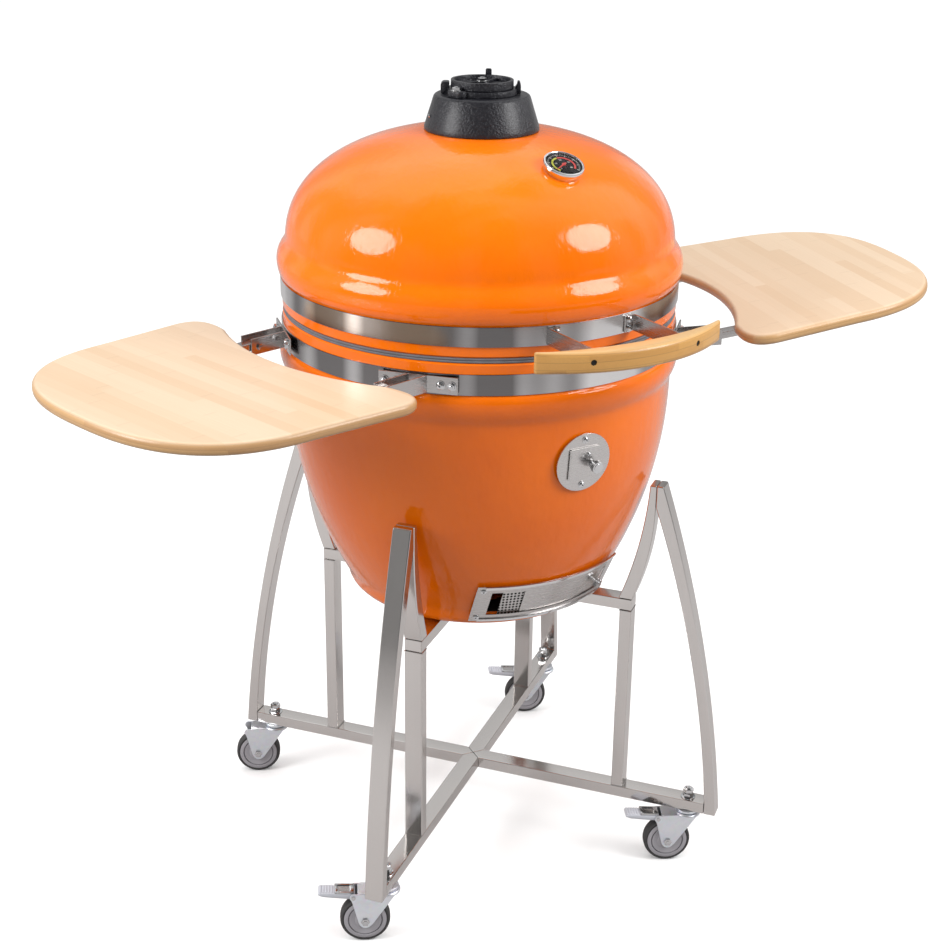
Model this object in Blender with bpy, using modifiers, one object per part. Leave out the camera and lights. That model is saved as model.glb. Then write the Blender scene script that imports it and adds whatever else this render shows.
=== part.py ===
"""Kamado ceramic grill on a castored tube stand, with two folding side shelves.

Metres, +Z up, front towards -Y. Z = 0 is the floor under the wheels.
"""
import math

import bmesh
import bpy
from mathutils import Vector

# ---------------------------------------------------------------- driving dimensions
AXIS_X, AXIS_Y = 0.0023, 0.0475      # the ceramic body's axis, seen from the middle of the whole footprint
GAP = 0.0003                         # clearance left between pieces that touch
STEPS = 40                           # facets round a large turned piece

# stand
STAND_TURN = math.radians(-6.0)      # the stand is turned a little against the body
TUBE_WIDE, TUBE_DEEP = 0.030, 0.020  # rectangular stainless tube
CROSS_BOTTOM = 0.100
CROSS_TOP = CROSS_BOTTOM + TUBE_DEEP
SUPPORT_TOP = 0.4775                 # the bowl stands on this
LEG_TOP_Z, LEG_TOP_R = 0.6845, 0.3220
LEG_FOOT_R = 0.4430
LEG_BOW = 0.018                      # how far the outer leg bulges past a straight line
LEG_MITRE_R = 0.3105                 # where the outer leg meets the cradle arm at the top
POST_R = 0.2790                      # outer face of the vertical post
CRADLE_BOW = 0.008

# castors
STEM_R = 0.392                       # distance of each castor stem from the stand's centre
WHEEL_R, WHEEL_WIDE = 0.0400, 0.024
TRAIL = 0.034                        # castor offset between stem and axle
TRAIL_TURN = math.radians(160.0)     # the way all four castors trail, in the stand's frame
AXLE_R = 0.0045
FORK_GAP, FORK_PLATE = 0.0275, 0.0025
BRAKE_X, BRAKE_DROP = 0.052, 0.0085  # the brake pin, out from the stem and down from the fork's deck

# ceramic body
LIP_R = 0.3125                       # outside of both ceramic lips, under the bands
BAND_R = 0.3150
BOWL_R, BOWL_TOP, BOWL_TAPER, BOWL_POWER = 0.3090, 0.848, 0.345, 2.1
BOWL_BOTTOM = SUPPORT_TOP + GAP
WALL = 0.025
LIP_INNER_R = 0.280
LOWER_LIP_TOP = 0.9470
UPPER_LIP_BOTTOM = 0.9553
LOWER_BAND_Z = (0.8995, 0.9315)
UPPER_BAND_Z = (0.9722, 1.0020)
DOME_R, DOME_MID_Z, DOME_RISE, DOME_POWER = 0.306, 1.050, 0.180, 2.3
DOME_WALL = 0.023
FLUE_R = 0.055
VENT_SEAT_Z = 1.2255

# front fittings
HANDLE_Z = (0.9705, 1.0015)
HANDLE_HALF = 0.160
HANDLE_FRONT_Y, HANDLE_FRONT_R = -0.457, 0.270
HANDLE_BACK_Y, HANDLE_BACK_R = -0.431, 0.480
HANDLE_BRACKET_AZ = math.radians(13.2)
HANDLE_TURN = (0, 0, math.radians(1.1))
THERMOMETER_X, THERMOMETER_R = 0.018, 0.200
PORT_Z, PORT_R, PORT_HOLE_R = 0.7810, 0.047, 0.018
PORT_TILT = math.radians(5.2)
DOOR_WIDE, DOOR_HIGH = 0.054, 0.050
DRAFT_Z = (0.492, 0.566)
DRAFT_R = (0.2220, 0.2545)           # radius of the draft frame's face at those two heights
DRAFT_HALF = (math.radians(32.7), math.radians(29.0))
DRAFT_LEAN = math.atan2(DRAFT_R[1] - DRAFT_R[0], DRAFT_Z[1] - DRAFT_Z[0])

# lid hinge at the back
HINGE_Y, HINGE_Z = 0.352, 0.951

# side shelves
SHELF_AZ = math.radians(75.7)        # shelf centre line, measured from the front
SHELF_THICK = 0.018
SHELF_TOP = 0.9385
SHELF_INNER_R = 0.408
SHELF_END = 0.746
SHELF_CORNER_U, SHELF_HALF, SHELF_POWER = 0.520, 0.250, 2.6
SHELF_ROOT_U, SHELF_ROOT_HALF = 0.402, 0.262
BRACKET_V = 0.153                    # each bracket's distance from the shelf's centre line
CLIP_HALF = 0.060                    # half the length of a clip's strip along the band
PIVOT_U, PIVOT_Z = 0.335, 0.914
RIGHT_SHELF_LIFT = math.radians(7.0)

# vent
VENT_TURN = math.radians(-31.0)

PARTS = bpy.data.collections.new("kamado_grill")
CUTTERS = bpy.data.collections.new("cutters")
MATERIALS = {}


# ---------------------------------------------------------------- helpers
def material(name, colour, roughness, metallic=0.0):
    made = bpy.data.materials.new(name)
    made.use_nodes = True
    shader = made.node_tree.nodes["Principled BSDF"]
    shader.inputs["Base Color"].default_value = (*colour, 1.0)
    shader.inputs["Roughness"].default_value = roughness
    shader.inputs["Metallic"].default_value = metallic
    MATERIALS[name] = made


def empty(name, parent=None, at=(0, 0, 0), turn=(0, 0, 0)):
    made = bpy.data.objects.new(name, None)
    made.location, made.rotation_euler = at, turn
    made.parent = parent
    PARTS.objects.link(made)
    return made


def add(name, mesh, slot, parent, at=(0, 0, 0), turn=(0, 0, 0)):
    """Place a mesh as a part, or as a cutter when it has no material slot."""
    made = bpy.data.objects.new(name, mesh)
    made.location, made.rotation_euler = at, turn
    made.parent = parent
    if slot:
        mesh.materials.append(MATERIALS[slot])
        PARTS.objects.link(made)
    else:
        made.hide_render = True
        made.display_type = "WIRE"
        CUTTERS.objects.link(made)
    return made


def mesh_of(shape, smooth=False):
    bmesh.ops.recalc_face_normals(shape, faces=shape.faces)
    mesh = bpy.data.meshes.new("shape")
    shape.to_mesh(mesh)
    shape.free()
    if smooth:
        mesh.shade_smooth()
        mesh.set_sharp_from_angle(angle=math.radians(35))
    return mesh


def turned(name, outline, slot, parent, at=(0, 0, 0), turn=(0, 0, 0), steps=STEPS):
    """Turn an (r, z) outline round Z. It runs down the outer side and back up the inner one."""
    shape = bmesh.new()
    points = [shape.verts.new((r, 0, z)) for r, z in outline]
    for first, second in zip(points, points[1:]):
        shape.edges.new((first, second))
    if outline[0][0] > 0:
        shape.edges.new((points[-1], points[0]))
    mesh = bpy.data.meshes.new(name)
    shape.to_mesh(mesh)
    shape.free()
    made = add(name, mesh, slot, parent, at, turn)
    screw = made.modifiers.new("turn", "SCREW")
    screw.steps = screw.render_steps = steps
    screw.use_merge_vertices = True
    screw.merge_threshold = 0.00005
    screw.use_smooth_shade = True
    return made


def slab(name, outline, low, high, slot, parent, at=(0, 0, 0), turn=(0, 0, 0), bevel=0.0, segments=2):
    """Extrude a flat XY outline from low to high."""
    shape = bmesh.new()
    face = shape.faces.new([shape.verts.new((x, y, low)) for x, y in outline])
    raised = bmesh.ops.extrude_face_region(shape, geom=[face])["geom"]
    corners = [item for item in raised if isinstance(item, bmesh.types.BMVert)]
    bmesh.ops.translate(shape, verts=corners, vec=(0, 0, high - low))
    made = add(name, mesh_of(shape, smooth=len(outline) > 12), slot, parent, at, turn)
    if bevel:
        rounding = made.modifiers.new("round", "BEVEL")
        rounding.width, rounding.segments = bevel, segments
        rounding.limit_method = "ANGLE"
        rounding.angle_limit = math.radians(40)
    return made


def box(name, low, high, slot, parent, at=(0, 0, 0), turn=(0, 0, 0)):
    shape = bmesh.new()
    bmesh.ops.create_cube(shape, size=1.0)
    size = Vector(high) - Vector(low)
    middle = (Vector(high) + Vector(low)) / 2
    bmesh.ops.scale(shape, vec=size, verts=shape.verts)
    bmesh.ops.translate(shape, vec=middle, verts=shape.verts)
    return add(name, mesh_of(shape), slot, parent, at, turn)


def rod(name, radius, length, slot, parent, at=(0, 0, 0), turn=(0, 0, 0), sides=12):
    """A cylinder centred on its place, along its own Z."""
    shape = bmesh.new()
    bmesh.ops.create_cone(shape, cap_ends=True, segments=sides, radius1=radius, radius2=radius, depth=length)
    return add(name, mesh_of(shape, smooth=True), slot, parent, at, turn)


def combine(target, tool, operation="UNION"):
    change = target.modifiers.new(operation.lower(), "BOOLEAN")
    change.object, change.operation = tool, operation
    change.solver = "EXACT"
    return target


def arc_between(start, end, bulge, count):
    """Points on a circular arc from start to end, bulging to the left of that direction."""
    start, end = Vector(start), Vector(end)
    chord = end - start
    radius = (chord.length ** 2 / 4 + bulge ** 2) / (2 * abs(bulge))
    half = math.asin(chord.length / 2 / radius)
    side = Vector((-chord.y, chord.x)).normalized() * math.copysign(1, bulge)
    centre = (start + end) / 2 - side * (radius - abs(bulge))
    points = []
    for step in range(count):
        angle = -half + 2 * half * step / (count - 1)
        along = chord.normalized() * math.sin(angle) * radius
        points.append(tuple(centre + along + side * math.cos(angle) * radius))
    return points


def bowl_radius(z):
    depth = (BOWL_TOP - z) / (BOWL_TOP - BOWL_BOTTOM)
    return BOWL_R * (1 - BOWL_TAPER * max(depth, 0.0) ** BOWL_POWER)


def dome_height(r, radius=DOME_R, rise=DOME_RISE):
    return DOME_MID_Z + rise * (1 - (r / radius) ** DOME_POWER) ** (1 / DOME_POWER)


# ---------------------------------------------------------------- stand
def cross_outline(reach):
    half = TUBE_WIDE / 2
    outline = []
    for quarter in range(4):
        angle = math.radians(45 + 90 * quarter)
        along = Vector((math.cos(angle), math.sin(angle)))
        side = Vector((-along.y, along.x))
        outline += [tuple(along * half - side * half), tuple(along * reach - side * half),
                    tuple(along * reach + side * half)]
    return outline


def build_stand(stand):
    foot_inner = LEG_FOOT_R - TUBE_DEEP
    cross = slab("base_cross", cross_outline(foot_inner - GAP), CROSS_BOTTOM, CROSS_TOP, "tube_steel", stand)
    slab("support_cross", cross_outline(POST_R), SUPPORT_TOP - TUBE_DEEP, SUPPORT_TOP, "tube_steel", stand)
    half = TUBE_WIDE / 2
    for number, place in enumerate(("rear_right", "rear_left", "front_left", "front_right")):
        angle = math.radians(45 + 90 * number)
        upright = (math.pi / 2, 0, angle)
        outer = arc_between((LEG_FOOT_R, CROSS_BOTTOM), (LEG_TOP_R, LEG_TOP_Z), -LEG_BOW, 8)
        inner = arc_between((foot_inner, CROSS_TOP), (LEG_MITRE_R + GAP / 2, 0.6480), -LEG_BOW, 7)
        top = [(LEG_MITRE_R + GAP / 2, LEG_TOP_Z)]
        slab("outer_leg_" + place, outer + top + inner[::-1] + [(foot_inner, CROSS_BOTTOM)], -half, half,
             "tube_steel", stand, turn=upright)
        low = SUPPORT_TOP + GAP
        face_out = arc_between((POST_R, low), (LEG_MITRE_R - GAP / 2, 0.6480), -CRADLE_BOW, 6)
        face_in = arc_between((POST_R - 0.0225, low), (LEG_TOP_R - 0.0225, LEG_TOP_Z), -CRADLE_BOW, 6)
        slab("cradle_arm_" + place, face_out + [(LEG_MITRE_R - GAP / 2, LEG_TOP_Z)] + face_in[::-1],
             -half, half, "tube_steel", stand, turn=upright)
        box("post_" + place, (POST_R - TUBE_DEEP, -half, CROSS_TOP + GAP),
            (POST_R, half, SUPPORT_TOP - TUBE_DEEP - GAP), "tube_steel", stand, turn=(0, 0, angle))
        stem_at = (STEM_R * math.cos(angle), STEM_R * math.sin(angle))
        nut_at, race_at = (*stem_at, CROSS_TOP + 0.0095), (*stem_at, CROSS_BOTTOM - 0.0025)
        combine(cross, rod("nut_" + place, 0.0095, 0.023, None, stand, nut_at, sides=6))
        combine(cross, rod("race_" + place, 0.020, 0.0065, None, stand, race_at, sides=16))
        build_castor(stand, place, stem_at)


def build_castor(stand, place, stem_at):
    castor = empty("castor_swivel_" + place, stand, (*stem_at, 0), (0, 0, TRAIL_TURN))
    deck_z = CROSS_BOTTOM - 0.0060
    fork = rod("castor_fork_" + place, 0.0225, 0.005, "zinc", castor, (0, 0, deck_z - 0.0025), sides=16)
    outside = FORK_GAP / 2 + FORK_PLATE
    low, high = (0, -outside, deck_z - 0.0045), (TRAIL + 0.014, outside, deck_z - 0.001)
    combine(fork, box("deck_" + place, low, high, None, castor))
    cheek = [(-0.016, deck_z - 0.002), (TRAIL - 0.011, WHEEL_R - 0.006), (TRAIL - 0.004, WHEEL_R - 0.012),
             (TRAIL + 0.004, WHEEL_R - 0.012), (TRAIL + 0.010, WHEEL_R - 0.005),
             (BRAKE_X + 0.003, deck_z - 0.015), (BRAKE_X + 0.007, deck_z - 0.009),
             (BRAKE_X + 0.003, deck_z - 0.002)]
    for side in (-1, 1):
        middle = side * (FORK_GAP + FORK_PLATE) / 2
        combine(fork, slab(f"cheek_{place}_{side}", cheek, -FORK_PLATE / 2, FORK_PLATE / 2, None, castor,
                           (0, middle, 0), (math.pi / 2, 0, 0)))
    brake_at = (BRAKE_X, 0, deck_z - BRAKE_DROP)
    bore = rod("brake_bore_" + place, 0.0043, 0.06, None, castor, brake_at, (math.pi / 2, 0, 0))
    combine(fork, bore, "DIFFERENCE")
    axle = rod("axle_" + place, AXLE_R, 2 * outside + 0.006, None, castor, (TRAIL, 0, WHEEL_R),
               (math.pi / 2, 0, 0))
    combine(fork, axle)
    half = WHEEL_WIDE / 2
    turned("castor_wheel_" + place,
           [(AXLE_R + 0.0008, half), (0.012, half), (0.014, half - 0.002), (0.031, half - 0.002),
            (0.0380, half - 0.001), (WHEEL_R, half - 0.006), (WHEEL_R, 0.006 - half), (0.0380, 0.001 - half),
            (0.031, 0.002 - half), (0.014, 0.002 - half), (0.012, -half), (AXLE_R + 0.0008, -half)],
           "tyre", castor, (TRAIL, 0, WHEEL_R), (math.pi / 2, 0, 0), steps=28)
    if place != "rear_left":
        build_pedal(castor, place, deck_z)


def build_pedal(castor, place, deck_z):
    """A brake pedal that tips down about its own pin, held between the fork's cheeks."""
    pivot = empty("brake_pivot_" + place, castor, (BRAKE_X, 0, deck_z - BRAKE_DROP))
    outline = [(-0.0025, -0.005), (0.008, -0.005), (0.048, 0.0005), (0.056, 0.0040), (0.056, 0.0075),
               (0.048, 0.0095), (0.012, 0.0070), (-0.0025, 0.005)]
    upright = (math.pi / 2, 0, 0)
    pedal = slab("brake_pedal_" + place, outline, -0.012, 0.012, "pedal_plastic", pivot, turn=upright)
    reach = FORK_GAP + 2 * FORK_PLATE + 0.003
    combine(pedal, rod("brake_pin_" + place, 0.0035, reach, None, pivot, (0, 0, 0), upright))


# ---------------------------------------------------------------- ceramic body
def build_bowl(body):
    outer = [(LIP_R, LOWER_LIP_TOP - 0.002), (LIP_R, 0.8985), (0.3150, 0.8965), (0.3180, 0.8895),
             (0.3190, 0.8800), (0.3172, 0.8690), (0.3120, 0.8570)]
    wall_z = [BOWL_TOP - 0.0015 - step * 0.0333 for step in range(11)]
    outer += [(bowl_radius(z), z) for z in wall_z]
    foot = bowl_radius(BOWL_BOTTOM + 0.014)
    outer += [(foot - 0.001, BOWL_BOTTOM + 0.012), (foot - 0.008, BOWL_BOTTOM + 0.0035)]
    outer += [(foot - 0.020, BOWL_BOTTOM)]
    floor = BOWL_BOTTOM + WALL
    inner = [(foot - 0.050, floor)]
    inner += [(bowl_radius(z) - WALL, z) for z in (0.535, 0.590, 0.650, 0.730, 0.840)]
    inner += [(LIP_INNER_R, 0.880), (LIP_INNER_R, LOWER_LIP_TOP)]
    outline = [(0, floor)] + inner + [(LIP_R - 0.002, LOWER_LIP_TOP)] + outer + [(0, BOWL_BOTTOM)]
    bowl = turned("ceramic_base", outline, "glaze", body)
    hole = box("draft_hole", (-0.104, -0.30, 0.5065), (0.104, -0.12, 0.5525), None, body)
    combine(bowl, hole, "DIFFERENCE")
    lean = (math.pi / 2 + PORT_TILT, 0, 0)
    port = rod("port_bore", PORT_HOLE_R, 0.16, None, body, (0, -0.30, PORT_Z), lean, 16)
    combine(bowl, port, "DIFFERENCE")


def build_dome(lid):
    top = [(FLUE_R, VENT_SEAT_Z)]
    start = 0.094
    reach = DOME_R - 0.0006 - start
    spread = [start + reach * math.sin(math.radians(90 * step / 10)) for step in range(11)]
    shell = [(r, min(dome_height(r), VENT_SEAT_Z)) for r in spread]
    skirt = [(0.3070, 1.0590), (0.3125, 1.0500), (0.3180, 1.0400), (0.3200, 1.0300), (0.3190, 1.0180),
             (0.3162, 1.0075), (LIP_R, 1.0030), (LIP_R, UPPER_LIP_BOTTOM + 0.002),
             (LIP_R - 0.002, UPPER_LIP_BOTTOM)]
    inner_r = DOME_R - DOME_WALL
    under = [inner_r * math.sin(math.radians(80 - 9.0 * step)) for step in range(8)]
    ceiling = [(r, dome_height(r, inner_r, DOME_RISE - DOME_WALL)) for r in under]
    inner = [(LIP_INNER_R, UPPER_LIP_BOTTOM), (LIP_INNER_R, 1.010)] + ceiling
    neck = [(FLUE_R, dome_height(FLUE_R, inner_r, DOME_RISE - DOME_WALL))]
    turned("ceramic_dome", top + shell + skirt + inner + neck, "glaze", lid)


def ring_outline(inner, outer, low, high):
    return [(inner, high), (outer, high), (outer, low), (inner, low)]


def build_bands(body, lid):
    turned("lower_band", ring_outline(LIP_R + GAP, BAND_R, *LOWER_BAND_Z), "band_steel", body)
    turned("upper_band", ring_outline(LIP_R + GAP, BAND_R, *UPPER_BAND_Z), "band_steel", lid)
    middle = (LOWER_LIP_TOP + UPPER_LIP_BOTTOM) / 2
    turned("base_gasket", ring_outline(0.283, 0.3100, LOWER_LIP_TOP + GAP, middle - GAP / 2), "felt", body)
    turned("dome_gasket", ring_outline(0.283, 0.3100, middle + GAP / 2, UPPER_LIP_BOTTOM - GAP), "felt", lid)


def build_inside(body):
    floor = BOWL_BOTTOM + WALL
    outline = [(0.244, 0.760), (0.262, 0.760), (0.242, 0.640), (0.196, 0.545), (0.150, floor + GAP),
               (0.060, floor + GAP), (0.060, 0.520), (0.135, 0.520), (0.176, 0.550), (0.222, 0.645)]
    fire_box = turned("fire_box", outline, "fire_clay", body, steps=28)
    ash_door = box("ash_door", (-0.060, -0.26, 0.5245), (0.060, -0.10, 0.548), None, body)
    combine(fire_box, ash_door, "DIFFERENCE")
    turned("fire_ring", ring_outline(0.246, 0.266, 0.7603, 0.842), "fire_clay", body, steps=28)
    grate("charcoal_grate", 0.130, 0.5203, 0.5263, 0.024, body)
    grate("cooking_grate", 0.258, 0.8423, 0.8483, 0.040, body)


def grate(name, radius, low, high, pitch, body):
    """A cast disc with parallel slots."""
    disc = rod(name, radius, high - low, "cast_iron", body, (0, 0, (low + high) / 2), sides=32)
    count = int((radius - 0.012) / pitch)
    for number in range(-count, count + 1):
        middle = number * pitch
        edge = abs(middle) + pitch * 0.32
        reach = math.sqrt(max(0.0, (radius - 0.012) ** 2 - edge ** 2))
        if reach > 0.01:
            slot = box(f"{name}_slot_{number}", (middle - pitch * 0.32, -reach, low - 0.01),
                       (middle + pitch * 0.32, reach, high + 0.01), None, body)
            combine(disc, slot, "DIFFERENCE")


# ---------------------------------------------------------------- front fittings
def handle_front(x):
    return HANDLE_FRONT_Y + HANDLE_FRONT_R - math.sqrt(HANDLE_FRONT_R ** 2 - x * x)


def handle_back(x):
    return HANDLE_BACK_Y + HANDLE_BACK_R - math.sqrt(HANDLE_BACK_R ** 2 - x * x)


def build_handle(lid, shift):
    spread = [HANDLE_HALF * (step / 5 - 1) for step in range(11)]
    front = [(x, max(handle_front(x), HANDLE_FRONT_Y)) for x in spread]
    back = [(x, handle_back(x) + 0.006) for x in reversed(spread)]
    slab("handle", front + back, *HANDLE_Z, "bamboo", lid, at=shift, turn=HANDLE_TURN, bevel=0.006)
    for side, name in ((-1, "left"), (1, "right")):
        az = HANDLE_BRACKET_AZ
        outward = Vector((math.sin(az), -math.cos(az)))
        along = Vector((math.cos(az), math.sin(az)))

        def point(rho, tau):
            return outward * rho + along * tau

        inner, outer = BAND_R + GAP, BAND_R + GAP + 0.003
        left_x = point(outer, 0.001).x
        right_x = left_x + 0.003
        tip = handle_back(right_x) + 0.006 + GAP
        root = point(inner, 0.004)
        outline = [tuple(point(inner, -0.016)), tuple(point(outer, -0.016)), (left_x, point(outer, 0.001).y),
                   (left_x, tip), (right_x, tip), (right_x, root.y - 0.002), tuple(root)]
        outline = [(x * side, y) for x, y in outline]
        slab("handle_bracket_" + name, outline[::side], 0.9735, 0.9985, "bracket_steel", lid, at=shift,
             turn=HANDLE_TURN)


def build_thermometer(lid, shift):
    """A dial case on a probe that passes through the dome, square to its surface."""
    seat_z = dome_height(THERMOMETER_R)
    slope = (dome_height(THERMOMETER_R + 0.001) - dome_height(THERMOMETER_R - 0.001)) / 0.002
    lean = math.atan(-slope)
    at = Vector(shift) + Vector((THERMOMETER_X, -THERMOMETER_R, seat_z))
    dial = empty("thermometer_dial", lid, at, (lean, 0, 0))
    bezel = [(0.0045, -0.050), (0, -0.050)]
    outline = [(0, 0.0090), (0.0270, 0.0090), (0.0275, 0.0125), (0.0300, 0.0125), (0.0312, 0.0105),
               (0.0312, 0.0035), (0.0045, 0.0035)] + bezel
    turned("thermometer_case", outline, "chrome", dial, steps=28)
    needle = [(-0.0015, -0.006), (0.0015, -0.006), (0.0008, 0.021), (-0.0008, 0.021)]
    slab("thermometer_needle", needle, 0.0094, 0.0102, "needle_red", dial, turn=(0, 0, math.radians(120)))
    dome = bpy.data.objects["ceramic_dome"]
    hole = rod("probe_bore", 0.0062, 0.12, None, lid, at, (lean, 0, 0))
    combine(dome, hole, "DIFFERENCE")


def build_port(body):
    face_y = -(bowl_radius(PORT_Z) + GAP)
    plate_at = (0, face_y, PORT_Z)
    lean = (math.pi / 2 + PORT_TILT, 0, 0)
    plate = rod("port_plate", PORT_R, 0.003, "plate_steel", body, (0, face_y - 0.0015, PORT_Z), lean, 32)
    combine(plate, rod("plate_bore", PORT_HOLE_R, 0.05, None, body, plate_at, lean, 16), "DIFFERENCE")
    hinge_x = -DOOR_WIDE / 2
    door_at = (hinge_x, face_y - 0.0045, PORT_Z)
    pivot = empty("port_hinge", body, door_at, lean)
    low, high = (0.0005, -DOOR_HIGH / 2, -0.0008), (DOOR_WIDE, DOOR_HIGH / 2, 0.0008)
    door = box("port_door", low, high, "plate_steel", pivot)
    combine(door, rod("door_stud", 0.0030, 0.012, None, pivot, (0.040, -0.003, 0.0064), (0, 0, 0)))
    combine(door, rod("door_knob", 0.0095, 0.008, None, pivot, (0.040, -0.003, 0.0150), (0, 0, 0)))


def cone_sheet(name, thick, low, high, start, stop, sink, slot, parent, window=None, columns=14):
    """A sheet bent round the bowl's foot, between two heights, sunk behind the draft frame's face."""
    shape = bmesh.new()
    edges_z = [low, high] if window is None else [low, window[2], window[3], high]
    turns = [step / columns for step in range(columns + 1)]
    grid = []
    for z in edges_z:
        share = (z - DRAFT_Z[0]) / (DRAFT_Z[1] - DRAFT_Z[0])
        radius = DRAFT_R[0] + share * (DRAFT_R[1] - DRAFT_R[0]) - sink
        half = DRAFT_HALF[0] + share * (DRAFT_HALF[1] - DRAFT_HALF[0])
        row = []
        for turn in turns:
            angle = (start + (stop - start) * turn) * half
            row.append(shape.verts.new((radius * math.sin(angle), -radius * math.cos(angle), z)))
        grid.append(row)
    for level, (below, above) in enumerate(zip(grid, grid[1:])):
        for column in range(columns):
            if window and level == 1 and window[0] <= column < window[1]:
                continue
            shape.faces.new((below[column], below[column + 1], above[column + 1], above[column]))
    made = add(name, mesh_of(shape, smooth=True), slot, parent)
    skin = made.modifiers.new("thickness", "SOLIDIFY")
    skin.thickness, skin.offset = thick, 0.0
    return made


def build_draft(body):
    window = (2, 20, 0.506, 0.553)
    cone_sheet("draft_frame", 0.0020, *DRAFT_Z, -1.03, 1.11, 0.001, "plate_steel", body, window, 22)
    door = cone_sheet("draft_door", 0.0010, 0.500, 0.559, -0.41, 0.90, 0.0032, "plate_steel", body)
    knob_turn = math.radians(22.5)
    radius = 0.2355 + 0.0068 * math.cos(DRAFT_LEAN)
    height = 0.5300 - 0.0068 * math.sin(DRAFT_LEAN)
    knob_at = (radius * math.sin(knob_turn), -radius * math.cos(knob_turn), height)
    lean = (math.pi / 2 + DRAFT_LEAN, 0, knob_turn)
    combine(door, rod("draft_knob", 0.0080, 0.0140, None, body, knob_at, lean))
    cone_sheet("draft_screen", 0.0008, 0.501, 0.558, -0.69, 0.50, 0.0050, "plate_steel", body)


# ---------------------------------------------------------------- hinge
def build_hinge(body, lid, shift):
    lower = box("hinge_lower", (-0.056, BAND_R + GAP, 0.9000), (0.056, BAND_R + 0.0040, 0.9310),
                "bracket_steel", body)
    ear = [(BAND_R + 0.001, 0.9010), (BAND_R + 0.026, 0.9080), (HINGE_Y + 0.009, HINGE_Z - 0.004),
           (HINGE_Y + 0.007, HINGE_Z + 0.007), (HINGE_Y - 0.007, HINGE_Z + 0.008), (BAND_R + 0.001, 0.9300)]
    for side in (-1, 1):
        combine(lower, slab(f"lower_ear_{side}", ear, -0.002, 0.002, None, body, (side * 0.050, 0, 0),
                            (math.pi / 2, 0, math.pi / 2)))
    combine(lower, rod("hinge_pin", 0.0050, 0.112, None, body, (0, HINGE_Y, HINGE_Z), (0, math.pi / 2, 0)))
    upper = box("hinge_upper", (-0.048, BAND_R + GAP, 0.9730), (0.048, BAND_R + 0.0040, 1.0010),
                "bracket_steel", lid, at=shift)
    ear = [(BAND_R + 0.001, 0.9745), (HINGE_Y - 0.009, HINGE_Z + 0.002), (HINGE_Y - 0.005, HINGE_Z - 0.009),
           (HINGE_Y + 0.006, HINGE_Z - 0.008), (HINGE_Y + 0.010, HINGE_Z + 0.004), (BAND_R + 0.020, 0.9990),
           (BAND_R + 0.001, 1.0000)]
    for side in (-1, 1):
        combine(upper, slab(f"upper_ear_{side}", ear, -0.002, 0.002, None, lid,
                            Vector(shift) + Vector((side * 0.042, 0, 0)), (math.pi / 2, 0, math.pi / 2)))
    bore = rod("upper_bore", 0.0058, 0.096, None, lid, Vector(shift) + Vector((0, HINGE_Y, HINGE_Z)),
               (0, math.pi / 2, 0), 16)
    combine(upper, bore, "DIFFERENCE")


# ---------------------------------------------------------------- vent
def build_vent(lid, shift):
    seat = VENT_SEAT_Z + GAP
    outline = [(0.050, 1.2790), (0.069, 1.2790), (0.0745, 1.2760), (0.0880, 1.2320), (0.0890, seat + 0.001),
               (0.0885, seat), (0.0560, seat), (0.050, 1.2320)]
    turned("vent_base", outline, "vent_iron", lid, at=shift, steps=32)
    turn = (0, 0, VENT_TURN)
    low = 1.2790 + GAP
    outline = [(0, 1.2880), (0.0535, 1.2880), (0.0535, low), (0, low)]
    cap = turned("vent_cap", outline, "vent_iron", lid, at=shift, turn=turn, steps=28)
    for side, reach, high in ((-1, 0.0635, 1.2975), (1, 0.0590, 1.2990)):
        edges = sorted((side * 0.0500, side * reach))
        combine(cap, box(f"lug_{side}", (edges[0], -0.009, low + 0.0005), (edges[1], 0.009, high), None, lid,
                         at=shift, turn=turn))
    outline = [(0, 1.2935), (0.0430, 1.2935), (0.0430, 1.3010), (0.0480, 1.3010), (0.0480, 1.2883),
               (0, 1.2883)]
    wheel = turned("vent_wheel", outline, "vent_iron", lid, at=shift, turn=turn, steps=28)
    tab = box("wheel_tab", (0.0045, 0.0435, 1.2990), (0.0145, 0.0468, 1.3105), None, lid, at=shift, turn=turn)
    combine(wheel, tab)
    for number in range(3):
        angle = math.radians(120 * number) + VENT_TURN
        place = Vector(shift) + Vector((0.024 * math.cos(angle), 0.024 * math.sin(angle), 1.2880))
        for plate in (cap, wheel):
            hole = rod(f"{plate.name}_hole_{number}", 0.0115, 0.04, None, lid, place, sides=14)
            combine(plate, hole, "DIFFERENCE")


# ---------------------------------------------------------------- shelves
def shelf_outline():
    half = []
    for step in range(5):
        angle = math.radians(27.0 * step / 4)
        half.append((SHELF_INNER_R * math.cos(angle), SHELF_INNER_R * math.sin(angle)))
    start, control, end = Vector(half[-1]), Vector((0.345, 0.262)), Vector((SHELF_ROOT_U, SHELF_ROOT_HALF))
    for step in range(1, 5):
        t = step / 4
        half.append(tuple(start * (1 - t) ** 2 + control * 2 * t * (1 - t) + end * t * t))
    for step in range(9):
        angle = math.radians(90 * (1 - step / 8))
        share = math.cos(angle) ** (2 / SHELF_POWER) if step else 0.0
        u = SHELF_CORNER_U + (SHELF_END - SHELF_CORNER_U) * share
        half.append((u, SHELF_HALF * math.sin(angle) ** (2 / SHELF_POWER) if step < 8 else 0.0))
    mirrored = [(u, -v) for u, v in half[-2:0:-1]]
    return half + mirrored


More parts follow.
